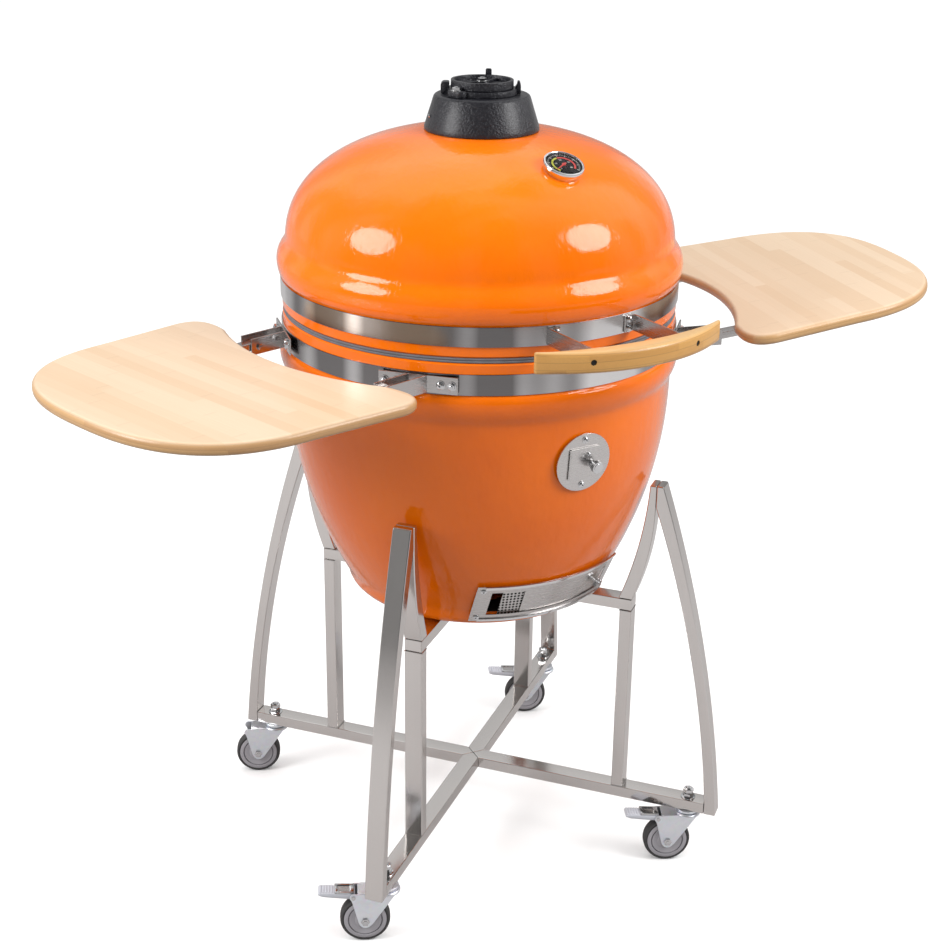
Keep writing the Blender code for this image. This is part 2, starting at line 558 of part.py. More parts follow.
def clip_outline(side):
    """A strip on the band with two cheeks that reach out along the shelf's centre line."""
    lean = math.asin(side * BRACKET_V / (BAND_R + GAP))
    outward = Vector((math.cos(lean), math.sin(lean)))
    along = Vector((-math.sin(lean), math.cos(lean)))
    inner, outer, reach, thick = BAND_R + GAP, BAND_R + 0.0030, 0.350, 0.0025

    def crossing(v):
        return outward * outer + along * ((v - outer * outward.y) / along.y)

    outline = [outward * inner - along * CLIP_HALF, outward * inner + along * CLIP_HALF]
    outline.append(outward * outer + along * CLIP_HALF)
    for edge in (1, -1):
        far, near = side * BRACKET_V + edge * (0.0110 + thick), side * BRACKET_V + edge * 0.0110
        first, second = (far, near) if edge > 0 else (near, far)
        outline += [crossing(first), Vector((reach, first)), Vector((reach, second)), crossing(second)]
    outline.append(outward * outer - along * CLIP_HALF)
    return [tuple(point) for point in outline]


def build_shelf(body, name, turn, lift):
    """One board on two steel arms, each pinned between the cheeks of a clip on the lower band."""
    fixed = empty("shelf_mount_" + name, body, turn=(0, 0, turn))
    fold = empty("shelf_fold_" + name, fixed, (PIVOT_U, 0, PIVOT_Z), (0, -lift, 0))
    back = (-PIVOT_U, 0, -PIVOT_Z)
    slab(f"shelf_board_{name}", shelf_outline(), SHELF_TOP - SHELF_THICK, SHELF_TOP, "bamboo", fold, at=back,
         bevel=0.0075, segments=2)
    for side, end in ((-1, "a"), (1, "b")):
        v = side * BRACKET_V
        clip = slab(f"shelf_clip_{name}_{end}", clip_outline(side), 0.9025, 0.9285, "bracket_steel", fixed)
        combine(clip, rod(f"clip_bore_{name}_{end}", 0.0036, 0.040, None, fixed, (PIVOT_U, v, PIVOT_Z),
                          (math.pi / 2, 0, 0)), "DIFFERENCE")
        arm = box(f"shelf_arm_{name}_{end}", (0.3250, v - 0.0100, 0.9085), (0.560, v + 0.0100, 0.9202),
                  "bracket_steel", fold, at=back)
        combine(arm, rod(f"pin_{name}_{end}", 0.0030, 0.032, None, fold, (0, v, 0), (math.pi / 2, 0, 0)))


# ---------------------------------------------------------------- build
def clear_scene():
    for item in list(bpy.data.objects):
        bpy.data.objects.remove(item, do_unlink=True)


def make_materials():
    material("glaze", (1.0, 0.25, 0.01), 0.12)
    material("tube_steel", (0.72, 0.70, 0.68), 0.22, 1.0)
    material("band_steel", (0.62, 0.61, 0.60), 0.30, 1.0)
    material("bracket_steel", (0.55, 0.54, 0.53), 0.32, 1.0)
    material("plate_steel", (0.66, 0.64, 0.62), 0.30, 1.0)
    material("zinc", (0.62, 0.66, 0.70), 0.38, 1.0)
    material("tyre", (0.08, 0.08, 0.08), 0.80)
    material("pedal_plastic", (0.60, 0.60, 0.64), 0.50)
    material("felt", (0.40, 0.40, 0.42), 0.95)
    material("bamboo", (0.86, 0.64, 0.36), 0.45)
    material("vent_iron", (0.05, 0.05, 0.055), 0.60, 0.6)
    material("cast_iron", (0.06, 0.06, 0.06), 0.70, 0.6)
    material("fire_clay", (0.72, 0.62, 0.50), 0.90)
    material("chrome", (0.80, 0.80, 0.80), 0.12, 1.0)
    material("needle_red", (0.75, 0.05, 0.03), 0.40)


def main():
    clear_scene()
    for collection in (PARTS, CUTTERS):
        bpy.context.scene.collection.children.link(collection)
    make_materials()
    body = empty("body_axis", at=(AXIS_X, AXIS_Y, 0))
    stand = empty("stand_axis", body, turn=(0, 0, STAND_TURN))
    lid = empty("lid_hinge", body, (0, HINGE_Y, HINGE_Z))
    shift = (0, -HINGE_Y, -HINGE_Z)
    build_stand(stand)
    build_bowl(body)
    build_inside(body)
    lid_frame = empty("lid_frame", lid, shift)
    build_dome(lid_frame)
    build_bands(body, lid_frame)
    none = (0, 0, 0)
    build_handle(lid_frame, none)
    build_thermometer(lid_frame, none)
    build_port(body)
    build_draft(body)
    build_hinge(body, lid_frame, none)
    build_vent(lid_frame, none)
    front = -math.pi / 2
    build_shelf(body, "left", front - SHELF_AZ, 0.0)
    build_shelf(body, "right", front + SHELF_AZ, RIGHT_SHELF_LIFT)


main()
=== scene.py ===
"""The look of the kamado grill: glazed ceramic, brushed and polished steel, laminated bamboo, cast iron."""
from math import asin, atan, atan2, copysign, cos, degrees, pi, radians, sin, sqrt

import bmesh
import bpy
from mathutils import Matrix, Vector


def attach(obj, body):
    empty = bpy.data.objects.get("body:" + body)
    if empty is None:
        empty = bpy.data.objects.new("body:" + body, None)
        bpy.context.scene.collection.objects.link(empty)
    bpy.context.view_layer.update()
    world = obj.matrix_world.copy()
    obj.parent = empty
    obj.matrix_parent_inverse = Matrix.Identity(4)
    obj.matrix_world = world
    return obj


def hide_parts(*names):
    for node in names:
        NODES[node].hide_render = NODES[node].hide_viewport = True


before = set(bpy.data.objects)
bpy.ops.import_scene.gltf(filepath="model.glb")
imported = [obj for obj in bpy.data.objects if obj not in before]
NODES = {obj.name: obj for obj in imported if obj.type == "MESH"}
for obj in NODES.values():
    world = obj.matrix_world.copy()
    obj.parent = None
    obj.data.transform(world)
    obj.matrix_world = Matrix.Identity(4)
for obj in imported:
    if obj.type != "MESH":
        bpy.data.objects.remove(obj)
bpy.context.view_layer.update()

# ---------------------------------------------------------------- dimensions shared with the CAD
AX, AY = 0.0023, 0.0475
BODY = Matrix.Translation((AX, AY, 0))
STAND = BODY @ Matrix.Rotation(radians(-6), 4, "Z")
PLACES = ("rear_right", "rear_left", "front_left", "front_right")
LIP_R, BAND_R = 0.3125, 0.3150
GAP = 0.0003
LOWER_Z, UPPER_Z = 0.9155, 0.9870  # the middles of the two bands
SHELF_TURNS = {"left": -165.7, "right": -14.3}
SHELF_LIFT = {"left": 0, "right": 7}
PIVOT_U, PIVOT_Z = 0.335, 0.914
ARM_V = 0.153
PORT_Z, PORT_TILT = 0.7810, 5.2
SIDES = ((-1, "left"), (1, "right"))


def turn(axis, angle):
    return Matrix.Rotation(radians(angle), 4, axis)


def move(x, y, z):
    return Matrix.Translation((x, y, z))


def add_node(tree, kind, settings=None, **inputs):
    """Add a shader node; an input is named by its label, or by i and its number."""
    node = tree.nodes.new("ShaderNode" + kind)
    for key, value in (settings or {}).items():
        setattr(node, key, value)
    for key, value in inputs.items():
        socket = node.inputs[int(key[1:]) if key[0] == "i" and key[1:].isdigit() else key]
        if isinstance(value, bpy.types.NodeSocket):
            tree.links.new(value, socket)
        else:
            socket.default_value = value
    return node


def shade(colour, factor):
    return tuple(min(1.0, channel * factor) for channel in colour)


# ---------------------------------------------------------------- materials
class Look:
    """A procedural material whose textures are read in object coordinates, in metres."""

    def __init__(self, name, colour, rough, metal=0.0, **sockets):
        self.material = bpy.data.materials.new(name)
        self.material.use_nodes = True
        self.tree = self.material.node_tree
        self.shader = self.tree.nodes["Principled BSDF"]
        self.place = self.add("TexCoord").outputs["Object"]
        self.set("Base Color", (*colour, 1.0))
        self.set("Roughness", rough)
        self.set("Metallic", metal)
        for socket, value in sockets.items():
            self.set(socket.replace("_", " "), value)

    def set(self, socket, value):
        if isinstance(value, bpy.types.NodeSocket):
            self.tree.links.new(value, self.shader.inputs[socket])
        else:
            self.shader.inputs[socket].default_value = value

    def add(self, kind, settings=None, **inputs):
        return add_node(self.tree, kind, settings, **inputs)

    def scaled(self, x, y, z):
        return self.add("Mapping", Vector=self.place, Scale=(x, y, z)).outputs["Vector"]

    def noise(self, scale, detail=3.0, vector=None):
        node = self.add("TexNoise", Vector=vector or self.place, Scale=scale, Detail=detail, Roughness=0.55)
        return node.outputs["Fac"]

    def ramp(self, factor, *stops):
        node = self.add("ValToRGB", Fac=factor)
        elements = node.color_ramp.elements
        while len(elements) < len(stops):
            elements.new(0.5)
        for element, (position, colour) in zip(elements, stops):
            element.position = position
            element.color = (*colour, 1.0) if isinstance(colour, tuple) else (colour, colour, colour, 1.0)
        return node.outputs["Color"]

    def math(self, operation, first, second=0.5):
        return self.add("Math", {"operation": operation}, i0=first, i1=second).outputs[0]

    def times(self, first, second):
        return self.math("MULTIPLY", first, second)

    def plus(self, first, second):
        return self.math("ADD", first, second)

    def dot(self, first, second):
        node = self.add("VectorMath", {"operation": "DOT_PRODUCT"}, i0=first, i1=tuple(second))
        return node.outputs["Value"]

    def join(self, x, y, z=0.0):
        return self.add("CombineXYZ", X=x, Y=y, Z=z).outputs[0]

    def mix(self, factor, first, second, blend="MIX"):
        node = self.add("Mix", {"data_type": "RGBA", "blend_type": blend}, i0=factor)
        for number, value in ((6, first), (7, second)):
            if isinstance(value, bpy.types.NodeSocket):
                self.tree.links.new(value, node.inputs[number])
            else:
                node.inputs[number].default_value = (*value, 1.0)
        return node.outputs[2]

    def span(self, factor, low, high):
        return self.add("MapRange", Value=factor, i3=low, i4=high).outputs[0]

    def bump(self, height, distance, strength=1.0):
        node = self.add("Bump", Height=height, Distance=distance, Strength=strength)
        self.set("Normal", node.outputs["Normal"])


def glaze():
    look = Look("orange_glaze", (0.97, 0.21, 0.002), 0.08, Specular_IOR_Level=0.2, Coat_Weight=0.42,
                Coat_Roughness=0.03, Coat_IOR=1.55)
    pool = look.noise(4.0, 4.0)
    fine = look.noise(46.0, 3.0)
    base = look.ramp(pool, (0.30, (0.90, 0.152, 0.001)), (0.70, (0.98, 0.190, 0.001)))
    speck = look.ramp(look.noise(420.0, 2.0), (0.70, 0.0), (0.80, 1.0))
    base = look.mix(look.times(speck, 0.25), base, (0.62, 0.12, 0.003))
    look.set("Base Color", base)
    look.set("Roughness", look.span(fine, 0.06, 0.14))
    ripple = look.noise(1.0, 2.0, look.scaled(75, 75, 34))
    peel = look.noise(260.0, 2.0)
    look.bump(look.plus(ripple, look.times(peel, 0.20)), 0.0011, 0.85)
    return look.material


def steel(name, colour, rough, axis, along=4.0, across=900.0, depth=0.00003, dirt=0.10, painted_reflection=None):
    """Steel with brushing lines that run square to the given axes, and if asked for, a painted reflection: a
    bright colour laid on in broad bands round the vertical axis.
    """
    look = Look(name, colour, rough, 1.0)
    scale = [across if letter in axis else along for letter in "xyz"]
    lines = look.noise(1.0, 4.0, look.scaled(*scale))
    cloud = look.noise(9.0, 4.0)
    dark = shade(colour, 1 - dirt)
    tone = look.mix(cloud, dark, colour)
    if painted_reflection:
        # painted reflection: broad bands round the vertical axis take the bright colour, standing for the room
        # mirrored in the steel
        reflection_bands = look.noise(1.0, 1.0, look.scaled(11, 11, 0.8))
        tone = look.mix(look.ramp(reflection_bands, (0.44, 0.0), (0.64, 1.0)), tone, painted_reflection)
    look.set("Base Color", look.mix(look.span(lines, 0.0, 0.22), tone, shade(colour, 0.72)))
    look.set("Roughness", look.plus(look.span(lines, rough * 0.65, rough * 1.35),
                                    look.span(cloud, -0.03, 0.05)))
    look.bump(lines, depth, 0.6)
    return look.material


def zinc():
    look = Look("zinc_plate", (0.78, 0.81, 0.86), 0.38, 1.0)
    spangle = look.add("TexVoronoi", Vector=look.place, Scale=160.0).outputs["Color"]
    flake = look.mix(0.08, (0.74, 0.78, 0.84), spangle)
    look.set("Base Color", look.mix(look.noise(30.0), flake, (0.86, 0.88, 0.92)))
    look.set("Roughness", look.span(look.noise(90.0, 4.0), 0.30, 0.52))
    look.bump(look.noise(500.0, 2.0), 0.00006, 0.5)
    return look.material


def bamboo(name, strip, ply, light, deep, edges, along, across, up, gloss=0.34):
    """Laminated strips: `along` is their length, `across` counts them and `up` counts the plies."""
    look = Look(name, light, gloss, Coat_Weight=0.25, Coat_Roughness=0.22)

    def tiles(*parts):
        return look.add("TexWhiteNoise", Vector=look.join(*parts)).outputs["Value"]

    def steps(value):
        return look.math("FLOOR", value)

    length, width, height = (look.dot(look.place, direction) for direction in (along, across, up))
    row = steps(look.math("DIVIDE", width, strip))
    plies = look.math("DIVIDE", height, ply)
    layer = steps(plies)
    joint = steps(look.plus(look.times(length, 0.9), look.times(row, 0.37)))
    tint = tiles(row, joint, layer)
    fibre = look.join(look.times(width, 650.0), look.times(length, 7.0), look.times(height, 500.0))
    grain = look.noise(1.0, 4.0, fibre)
    base = look.mix(look.span(tint, 0.0, 0.95), light, deep)
    base = look.mix(look.span(grain, 0.0, 0.30), base, shade(deep, 0.80))
    base = look.mix(look.span(look.noise(7.0, 3.0), 0.0, 0.25), base, shade(light, 1.10))
    place = look.math("FRACT", look.plus(look.times(length, 4.4), look.times(tint, 7.0)))
    knuckle = look.ramp(place, (0.0, 0.0), (0.004, 1.0), (0.010, 1.0), (0.022, 0.0))
    base = look.mix(look.times(knuckle, 0.14), base, shade(deep, 0.62))
    flat = look.dot(look.add("NewGeometry").outputs["Normal"], up)
    side = look.ramp(look.math("ABSOLUTE", flat), (0.55, 1.0), (0.96, 0.0))
    piece_along = steps(look.plus(look.times(length, 7.0), look.times(layer, 0.4)))
    ends = look.mix(tiles(layer, piece_along, 3.0), *edges)
    seam = look.ramp(look.math("FRACT", plies), (0.0, 1.0), (0.05, 1.0), (0.12, 0.0))
    ends = look.mix(look.times(seam, 0.55), ends, shade(edges[1], 0.45))
    ends = look.mix(look.span(grain, 0.0, 0.35), ends, shade(edges[1], 0.5))
    look.set("Base Color", look.mix(look.times(side, 0.8), base, ends))
    look.set("Roughness", look.span(grain, gloss - 0.06, gloss + 0.12))
    look.bump(grain, 0.00007, 0.4)
    return look.material


def iron(name, colour, grain, rough):
    """Cast iron under a thin coat of paint or seasoning."""
    look = Look(name, colour, rough, 0.25, Coat_Weight=0.35, Coat_Roughness=0.28)
    sand = look.noise(grain, 3.0)
    cloud = look.noise(25.0, 3.0)
    look.set("Base Color", look.mix(look.span(sand, 0.0, 0.8), shade(colour, 0.55), shade(colour, 1.7)))
    fine = look.span(sand, rough - 0.16, rough + 0.12)
    look.set("Roughness", look.plus(fine, look.span(cloud, -0.04, 0.06)))
    look.bump(sand, 0.0020, 1.0)
    return look.material


def soft(name, colour, grain, depth, rough=0.8, spread=0.35, shine=0.5):
    """Rubber, felt, clay and moulded plastic: one tone broken by fine grain."""
    look = Look(name, colour, rough, Specular_IOR_Level=shine)
    fine = look.noise(grain, 4.0)
    broad = look.noise(grain / 25.0, 3.0)
    low, high = shade(colour, 1 - spread), shade(colour, 1 + spread)
    look.set("Base Color", look.mix(look.times(look.plus(fine, broad), 0.5), low, high))
    look.set("Roughness", look.span(fine, rough - 0.12, min(1.0, rough + 0.1)))
    look.bump(fine, depth, 0.7)
    return look.material


SHEET_R, HOLES_PER_M = 0.232, 172.0


def perforated():
    """Sheet steel with a grid of small punched holes, painted near-black: painted shade of the dark inside
    seen through them.
    """
    look = Look("perforated_steel", (0.60, 0.59, 0.58), 0.32, 1.0)
    x, y, z = look.add("SeparateXYZ", Vector=look.place).outputs
    angle = look.math("ARCTAN2", look.math("SUBTRACT", x, AX), look.math("SUBTRACT", AY, y))
    spots = look.join(look.times(angle, SHEET_R), z)
    cells = look.add("TexVoronoi", {"voronoi_dimensions": "2D"}, Vector=spots, Scale=HOLES_PER_M,
                     Randomness=0.0)
    hole = look.ramp(cells.outputs["Distance"], (0.31, 1.0), (0.36, 0.0))
    # the holes are painted near-black: painted shade of the dark inside seen through them
    look.set("Base Color", look.mix(hole, look.mix(look.noise(60.0), (0.50, 0.49, 0.48), (0.66, 0.65, 0.64)),
                                    (0.012, 0.011, 0.010)))
    look.set("Roughness", look.span(look.noise(200.0, 3.0), 0.24, 0.42))
    look.bump(look.math("SUBTRACT", 1.0, hole), 0.0003, 0.8)
    return look.material


def glass():
    look = Look("gauge_glass", (1.0, 1.0, 1.0), 0.02, Transmission_Weight=1.0, IOR=1.12)
    look.set("Roughness", look.span(look.noise(300.0), 0.01, 0.05))
    return look.material


MATERIALS = {
    "glaze": glaze(),
    # band steel: the dark base tone and the bright second colour are painted reflections, dark and light bands
    # for the room mirrored in the hoops
    "band": steel("band_steel", (0.22, 0.21, 0.21), 0.20, "z", depth=0.00002, painted_reflection=(0.90, 0.89, 0.89)),
    "tube": steel("tube_steel", (0.70, 0.67, 0.65), 0.14, "xy", along=5.0, across=500.0, depth=0.00001,
                  dirt=0.08),
    "tube_z": steel("tube_steel_upright", (0.70, 0.67, 0.65), 0.15, "xy", along=3.0, across=600.0,
                    depth=0.00001),
    "bracket": steel("bracket_steel", (0.58, 0.56, 0.55), 0.24, "z", across=700.0, dirt=0.18),
    "plate": steel("plate_steel", (0.62, 0.60, 0.59), 0.26, "z", along=3.0, across=700.0, depth=0.000002),
    "bolt": steel("bolt_steel", (0.72, 0.72, 0.73), 0.12, "xyz", along=200.0, across=400.0, dirt=0.25),
    "chrome": steel("chrome_bezel", (0.80, 0.80, 0.81), 0.07, "z", across=300.0, depth=0.000004, dirt=0.05),
    "zinc": zinc(),
    "perforated": perforated(),
    "iron": iron("painted_cast_iron", (0.012, 0.012, 0.017), 270.0, 0.36),
    "grate": iron("seasoned_cast_iron", (0.022, 0.020, 0.019), 500.0, 0.6),
    "tyre": soft("tyre_rubber", (0.052, 0.050, 0.050), 700.0, 0.0002, 0.72),
    "hub": soft("hub_plastic", (0.40, 0.385, 0.41), 900.0, 0.00008, 0.45, 0.08),
    "pedal": soft("pedal_plastic", (0.58, 0.59, 0.64), 900.0, 0.00008, 0.42, 0.10),
    "felt": soft("gasket_felt", (0.17, 0.165, 0.18), 1400.0, 0.0006, 0.95, 0.55),
    "clay": soft("fire_clay", (0.55, 0.44, 0.33), 300.0, 0.0007, 0.92, 0.22),
    "dial": soft("dial_black", (0.007, 0.007, 0.009), 900.0, 0.00002, 0.50, 0.2, 0.08),
    "mark_white": soft("dial_white", (0.75, 0.74, 0.70), 900.0, 0.00001, 0.5, 0.05),
    "mark_red": soft("dial_red", (0.80, 0.06, 0.05), 900.0, 0.00001, 0.45, 0.1),
    "mark_green": soft("dial_green", (0.72, 0.74, 0.06), 900.0, 0.00001, 0.45, 0.1),
    # near-black painted shade for recesses: it lines the draft opening's throat and colours the handle screws
    # sunk in their bores
    "dark": soft("painted_recess_shade", (0.012, 0.011, 0.010), 500.0, 0.0001, 0.85, 0.3),
    "glass": glass(),
}
FLAT_SIDED = ("tube", "tube_z", "bracket", "plate", "zinc", "band")


# ---------------------------------------------------------------- shape helpers
SHARP = 32  # degrees between faces from which an edge is shaded sharp
TINY = 1e-6


def linked(name, data):
    """Put a new object in the scene."""
    made = bpy.data.objects.new(name, data)
    bpy.context.scene.collection.objects.link(made)
    return made


def piece(name, shape, look, body, matrix, replaces=None, sharp=SHARP):
    """Turn a bmesh into a piece that rides a body."""
    shape.transform(matrix)
    bmesh.ops.remove_doubles(shape, verts=shape.verts, dist=0.000002)
    bmesh.ops.recalc_face_normals(shape, faces=shape.faces)
    mesh = bpy.data.meshes.new(name)
    shape.to_mesh(mesh)
    shape.free()
    mesh.materials.append(MATERIALS[look] if isinstance(look, str) else look)
    mesh.shade_smooth()
    mesh.set_sharp_from_angle(angle=radians(sharp))
    made = linked(name, mesh)
    if look in FLAT_SIDED or not isinstance(look, str):
        evened(made)
    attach(made, body)
    if replaces:
        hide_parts(replaces)
    return made


def merge(*shapes):
    """Gather several bmeshes in one."""
    first = shapes[0]
    for shape in shapes[1:]:
        spare = bpy.data.meshes.new("spare")
        shape.to_mesh(spare)
        shape.free()
        first.from_mesh(spare)
        bpy.data.meshes.remove(spare)
    return first


def placed(shape, matrix):
    shape.transform(matrix)
    return shape


def lifted(shape, height):
    return placed(shape, move(0, 0, height))


def bend(start, corner, stop, t):
    """A point on the curve from start to stop that a corner draws out."""
    return tuple(start * (1 - t) ** 2 + corner * 2 * t * (1 - t) + stop * t * t)


def softened(points, radius, steps=3, closed=True):
    """Round the corners of an outline."""
    made = []
    count = len(points)
    for index, point in enumerate(points):
        here = Vector(point)
        before, after = Vector(points[index - 1]), Vector(points[(index + 1) % count])
        ends = not closed and index in (0, count - 1)
        reach = min(radius, (before - here).length * 0.45, (after - here).length * 0.45)
        if ends or reach < TINY:
            made.append(tuple(here))
            continue
        start = here + (before - here).normalized() * reach
        stop = here + (after - here).normalized() * reach
        made += [bend(start, here, stop, step / steps) for step in range(steps + 1)]
    return made


def lathe(profile, segments=96):
    """Turn (r, z) points round Z. A profile that starts on the axis ends there, any other makes a ring."""
    shape = bmesh.new()
    angles = [2 * pi * k / segments for k in range(segments)]
    rings = []
    for r, z in profile:
        points = [(0, 0, z)] if r < TINY else [(r * cos(a), r * sin(a), z) for a in angles]
        rings.append([shape.verts.new(point) for point in points])
    pairs = list(zip(rings, rings[1:]))
    if profile[0][0] > TINY:
        pairs.append((rings[-1], rings[0]))
    for upper, lower in pairs:
        for k in range(segments):
            ends = [(upper, k), (upper, k + 1), (lower, k + 1), (lower, k)]
            corners = list(dict.fromkeys(ring[number % len(ring)] for ring, number in ends))
            if len(corners) > 2:
                shape.faces.new(corners)
    return shape


def rod(radius, top, bottom, sides):
    return lathe([(0, top), (radius, top), (radius, bottom), (0, bottom)], sides)


def knob(radius, height, rounding=0.0008, sides=24):
    """A round head standing on z = 0."""
    outline = [(0, 0), (radius, 0), (radius, height), (0, height)]
    return lathe(softened(outline, rounding, 3, closed=False), sides)


def dome_head(radius, height, sides=20):
    """A button head with a socket, standing on z = 0."""
    outline = [(0, 0), (radius, 0), (radius, height * 0.30)]
    for step in range(1, 6):
        angle = radians(75 * step / 5)
        outline.append((radius * cos(angle) + 0.0002, height * (0.30 + 0.70 * sin(angle) / sin(1.31))))
    outline += [(radius * 0.42, height), (radius * 0.40, height * 0.45), (0, height * 0.45)]
    return lathe(outline, sides)


def hexagon(radius, height):
    """A hexagon nut standing on z = 0, with its corners chamfered and a thread end."""
    thread = height * 1.32
    outline = [(0, 0), (radius, 0), (radius, height * 0.85), (radius * 0.86, height),
               (radius * 0.52, height), (radius * 0.50, height * 1.25), (radius * 0.42, thread), (0, thread)]
    return lathe(outline, 6)


def through_bolt(radius, half, seat, head, nut, sides=20):
    """A rod of twice the half length, with a head at height seat and a nut at the other end."""
    below = placed(nut, move(0, 0, -seat) @ turn("X", 180))
    return merge(rod(radius, half, -half, sides), lifted(head, seat), below)


def plate(outline, low, high, bevel=0.0, segments=2, limit=30.0):
    """Extrude an XY outline from low to high, with rounded edges."""
    shape = bmesh.new()
    face = shape.faces.new([shape.verts.new((x, y, low)) for x, y in outline])
    raised = bmesh.ops.extrude_face_region(shape, geom=[face])["geom"]
    corners = [item for item in raised if isinstance(item, bmesh.types.BMVert)]
    bmesh.ops.translate(shape, verts=corners, vec=(0, 0, high - low))
    bmesh.ops.recalc_face_normals(shape, faces=shape.faces)
    if bevel:
        edges = [edge for edge in shape.edges if edge.calc_face_angle(0) > radians(limit)]
        bmesh.ops.bevel(shape, geom=edges, offset=bevel, segments=segments, profile=0.5, affect="EDGES")
    return shape


def block(low, high, bevel=0.0, segments=2):
    outline = [(low[0], low[1]), (high[0], low[1]), (high[0], high[1]), (low[0], high[1])]
    return plate(outline, low[2], high[2], bevel, segments)


def baked(made):
    """Replace a piece's mesh by what its modifiers make of it."""
    bpy.context.view_layer.update()
    graph = bpy.context.evaluated_depsgraph_get()
    result = bpy.data.meshes.new_from_object(made.evaluated_get(graph))
    made.modifiers.clear()
    made.data = result


def evened(made):
    """Let wide faces set the shading, so flat sides stay flat beside their rounded edges."""
    made.modifiers.new("even", "WEIGHTED_NORMAL").keep_sharp = True
    baked(made)


def cut(target, *tools):
    """Subtract closed shapes from a piece and keep the result."""
    for tool in tools:
        mesh = bpy.data.meshes.new("tool")
        bmesh.ops.recalc_face_normals(tool, faces=tool.faces)
        tool.to_mesh(mesh)
        tool.free()
        cutter = linked("tool", mesh)
        change = target.modifiers.new("cut", "BOOLEAN")
        change.object, change.operation, change.solver = cutter, "DIFFERENCE", "EXACT"
        baked(target)
        bpy.data.objects.remove(cutter, do_unlink=True)
    target.data.shade_smooth()
    target.data.set_sharp_from_angle(angle=radians(SHARP))


def arc_between(start, end, bulge, count):
    """Points on a circular arc from start to end, bulging to the left of that direction."""
    start, end = Vector(start), Vector(end)
    chord = end - start
    radius = (chord.length ** 2 / 4 + bulge ** 2) / (2 * abs(bulge))
    half = asin(chord.length / 2 / radius)
    side = Vector((-chord.y, chord.x)).normalized() * copysign(1, bulge)
    centre = (start + end) / 2 - side * (radius - abs(bulge))
    angles = [-half + 2 * half * step / (count - 1) for step in range(count)]
    return [tuple(centre + chord.normalized() * sin(a) * radius + side * cos(a) * radius) for a in angles]


# ---------------------------------------------------------------- stand
CROSS_LOW, CROSS_TOP = 0.100, 0.120
SUPPORT_TOP = 0.4775
LEG_TOP = (0.3220, 0.6845)
LEG_FOOT_R, TUBE_WIDE, TUBE_DEEP = 0.4430, 0.030, 0.020
MITRE_R, MITRE_LOW, ARM_DEEP = 0.3105, 0.6480, 0.0225
POST_R, STEM_R = 0.2790, 0.392


def tube(name, shape, look, at, node):
    piece(name, shape, look, "stand", at, node)


def cross_arm(reach, low, high, at, name, node):
    """One mitred arm of a cross of tube."""
    half = TUBE_WIDE / 2 - 0.0001
    outline = [(0.0002, 0), (half, -half), (reach, -half), (reach, half), (half, half)]
    tube(name, plate(outline, low, high, 0.0016, 2), "tube", at, node)


def build_stand():
    foot_inner = LEG_FOOT_R - TUBE_DEEP
    upright = turn("X", 90)
    half = TUBE_WIDE / 2
    beam_low = SUPPORT_TOP - TUBE_DEEP
    post_inner = POST_R - TUBE_DEEP
    leg_r, arm_r = MITRE_R + GAP / 2, MITRE_R - GAP / 2  # either side of the joint between leg and cradle arm
    for number, place in enumerate(PLACES):
        angle = 45 + 90 * number
        at = STAND @ turn("Z", angle)
        lower, upper = ("base_cross", "support_cross") if number == 0 else (None, None)
        cross_arm(foot_inner - GAP, CROSS_LOW, CROSS_TOP, at, f"lower_arm_{place}", lower)
        cross_arm(POST_R, beam_low, SUPPORT_TOP, at, f"upper_arm_{place}", upper)
        outer = arc_between((LEG_FOOT_R, CROSS_LOW), LEG_TOP, -0.018, 22)
        inner = arc_between((foot_inner, CROSS_TOP), (leg_r, MITRE_LOW), -0.018, 20)
        leg = plate(outer + [(leg_r, LEG_TOP[1])] + inner[::-1] + [(foot_inner, CROSS_LOW)], -half, half,
                    0.0020, 3, 40)
        tube(f"leg_{place}", leg, "tube_z", at @ upright, f"outer_leg_{place}")
        low = SUPPORT_TOP + GAP
        outer = arc_between((POST_R, low), (arm_r, MITRE_LOW), -0.008, 14)
        inner = arc_between((POST_R - ARM_DEEP, low), (LEG_TOP[0] - ARM_DEEP, LEG_TOP[1]), -0.008, 14)
        arm = plate(outer + [(arm_r, LEG_TOP[1])] + inner[::-1], -half, half, 0.0020, 3, 40)
        tube(f"cradle_{place}", arm, "tube_z", at @ upright, f"cradle_arm_{place}")
        post = block((post_inner, -half, CROSS_TOP + GAP), (POST_R, half, beam_low - GAP), 0.0018, 3)
        tube(f"upright_{place}", post, "tube_z", at, f"post_{place}")
        for level in (CROSS_TOP + 0.0002, beam_low - 0.0022):
            bead = block((post_inner - 0.0007, -half - 0.0004, level),
                         (POST_R + 0.0005, half + 0.0004, level + 0.0014), 0.0005)
            tube(f"weld_{place}_{int(level * 1000)}", bead, "bracket", at, None)
        stem = at @ move(STEM_R, 0, 0)
        nut = merge(lifted(knob(0.0125, 0.0016), CROSS_TOP),
                    lifted(hexagon(0.0094, 0.0075), CROSS_TOP + 0.0016),
                    placed(hexagon(0.0090, 0.0068), move(0, 0, CROSS_TOP + 0.0100) @ turn("Z", 20)))
        piece(f"stem_nut_{place}", nut, "bolt", "stand", stem)
        race = [(0.004, 0.0999), (0.0196, 0.0999), (0.0196, 0.0960), (0.0170, 0.0944), (0.004, 0.0944)]
        piece(f"swivel_race_{place}", lathe(softened(race, 0.0008), 40), "zinc", "stand", stem)
        build_castor(place, stem @ turn("Z", 160 - angle))


TRAIL, WHEEL_R, DECK = 0.034, 0.0400, 0.094
BRAKE_X, BRAKE_DROP = 0.052, 0.0085


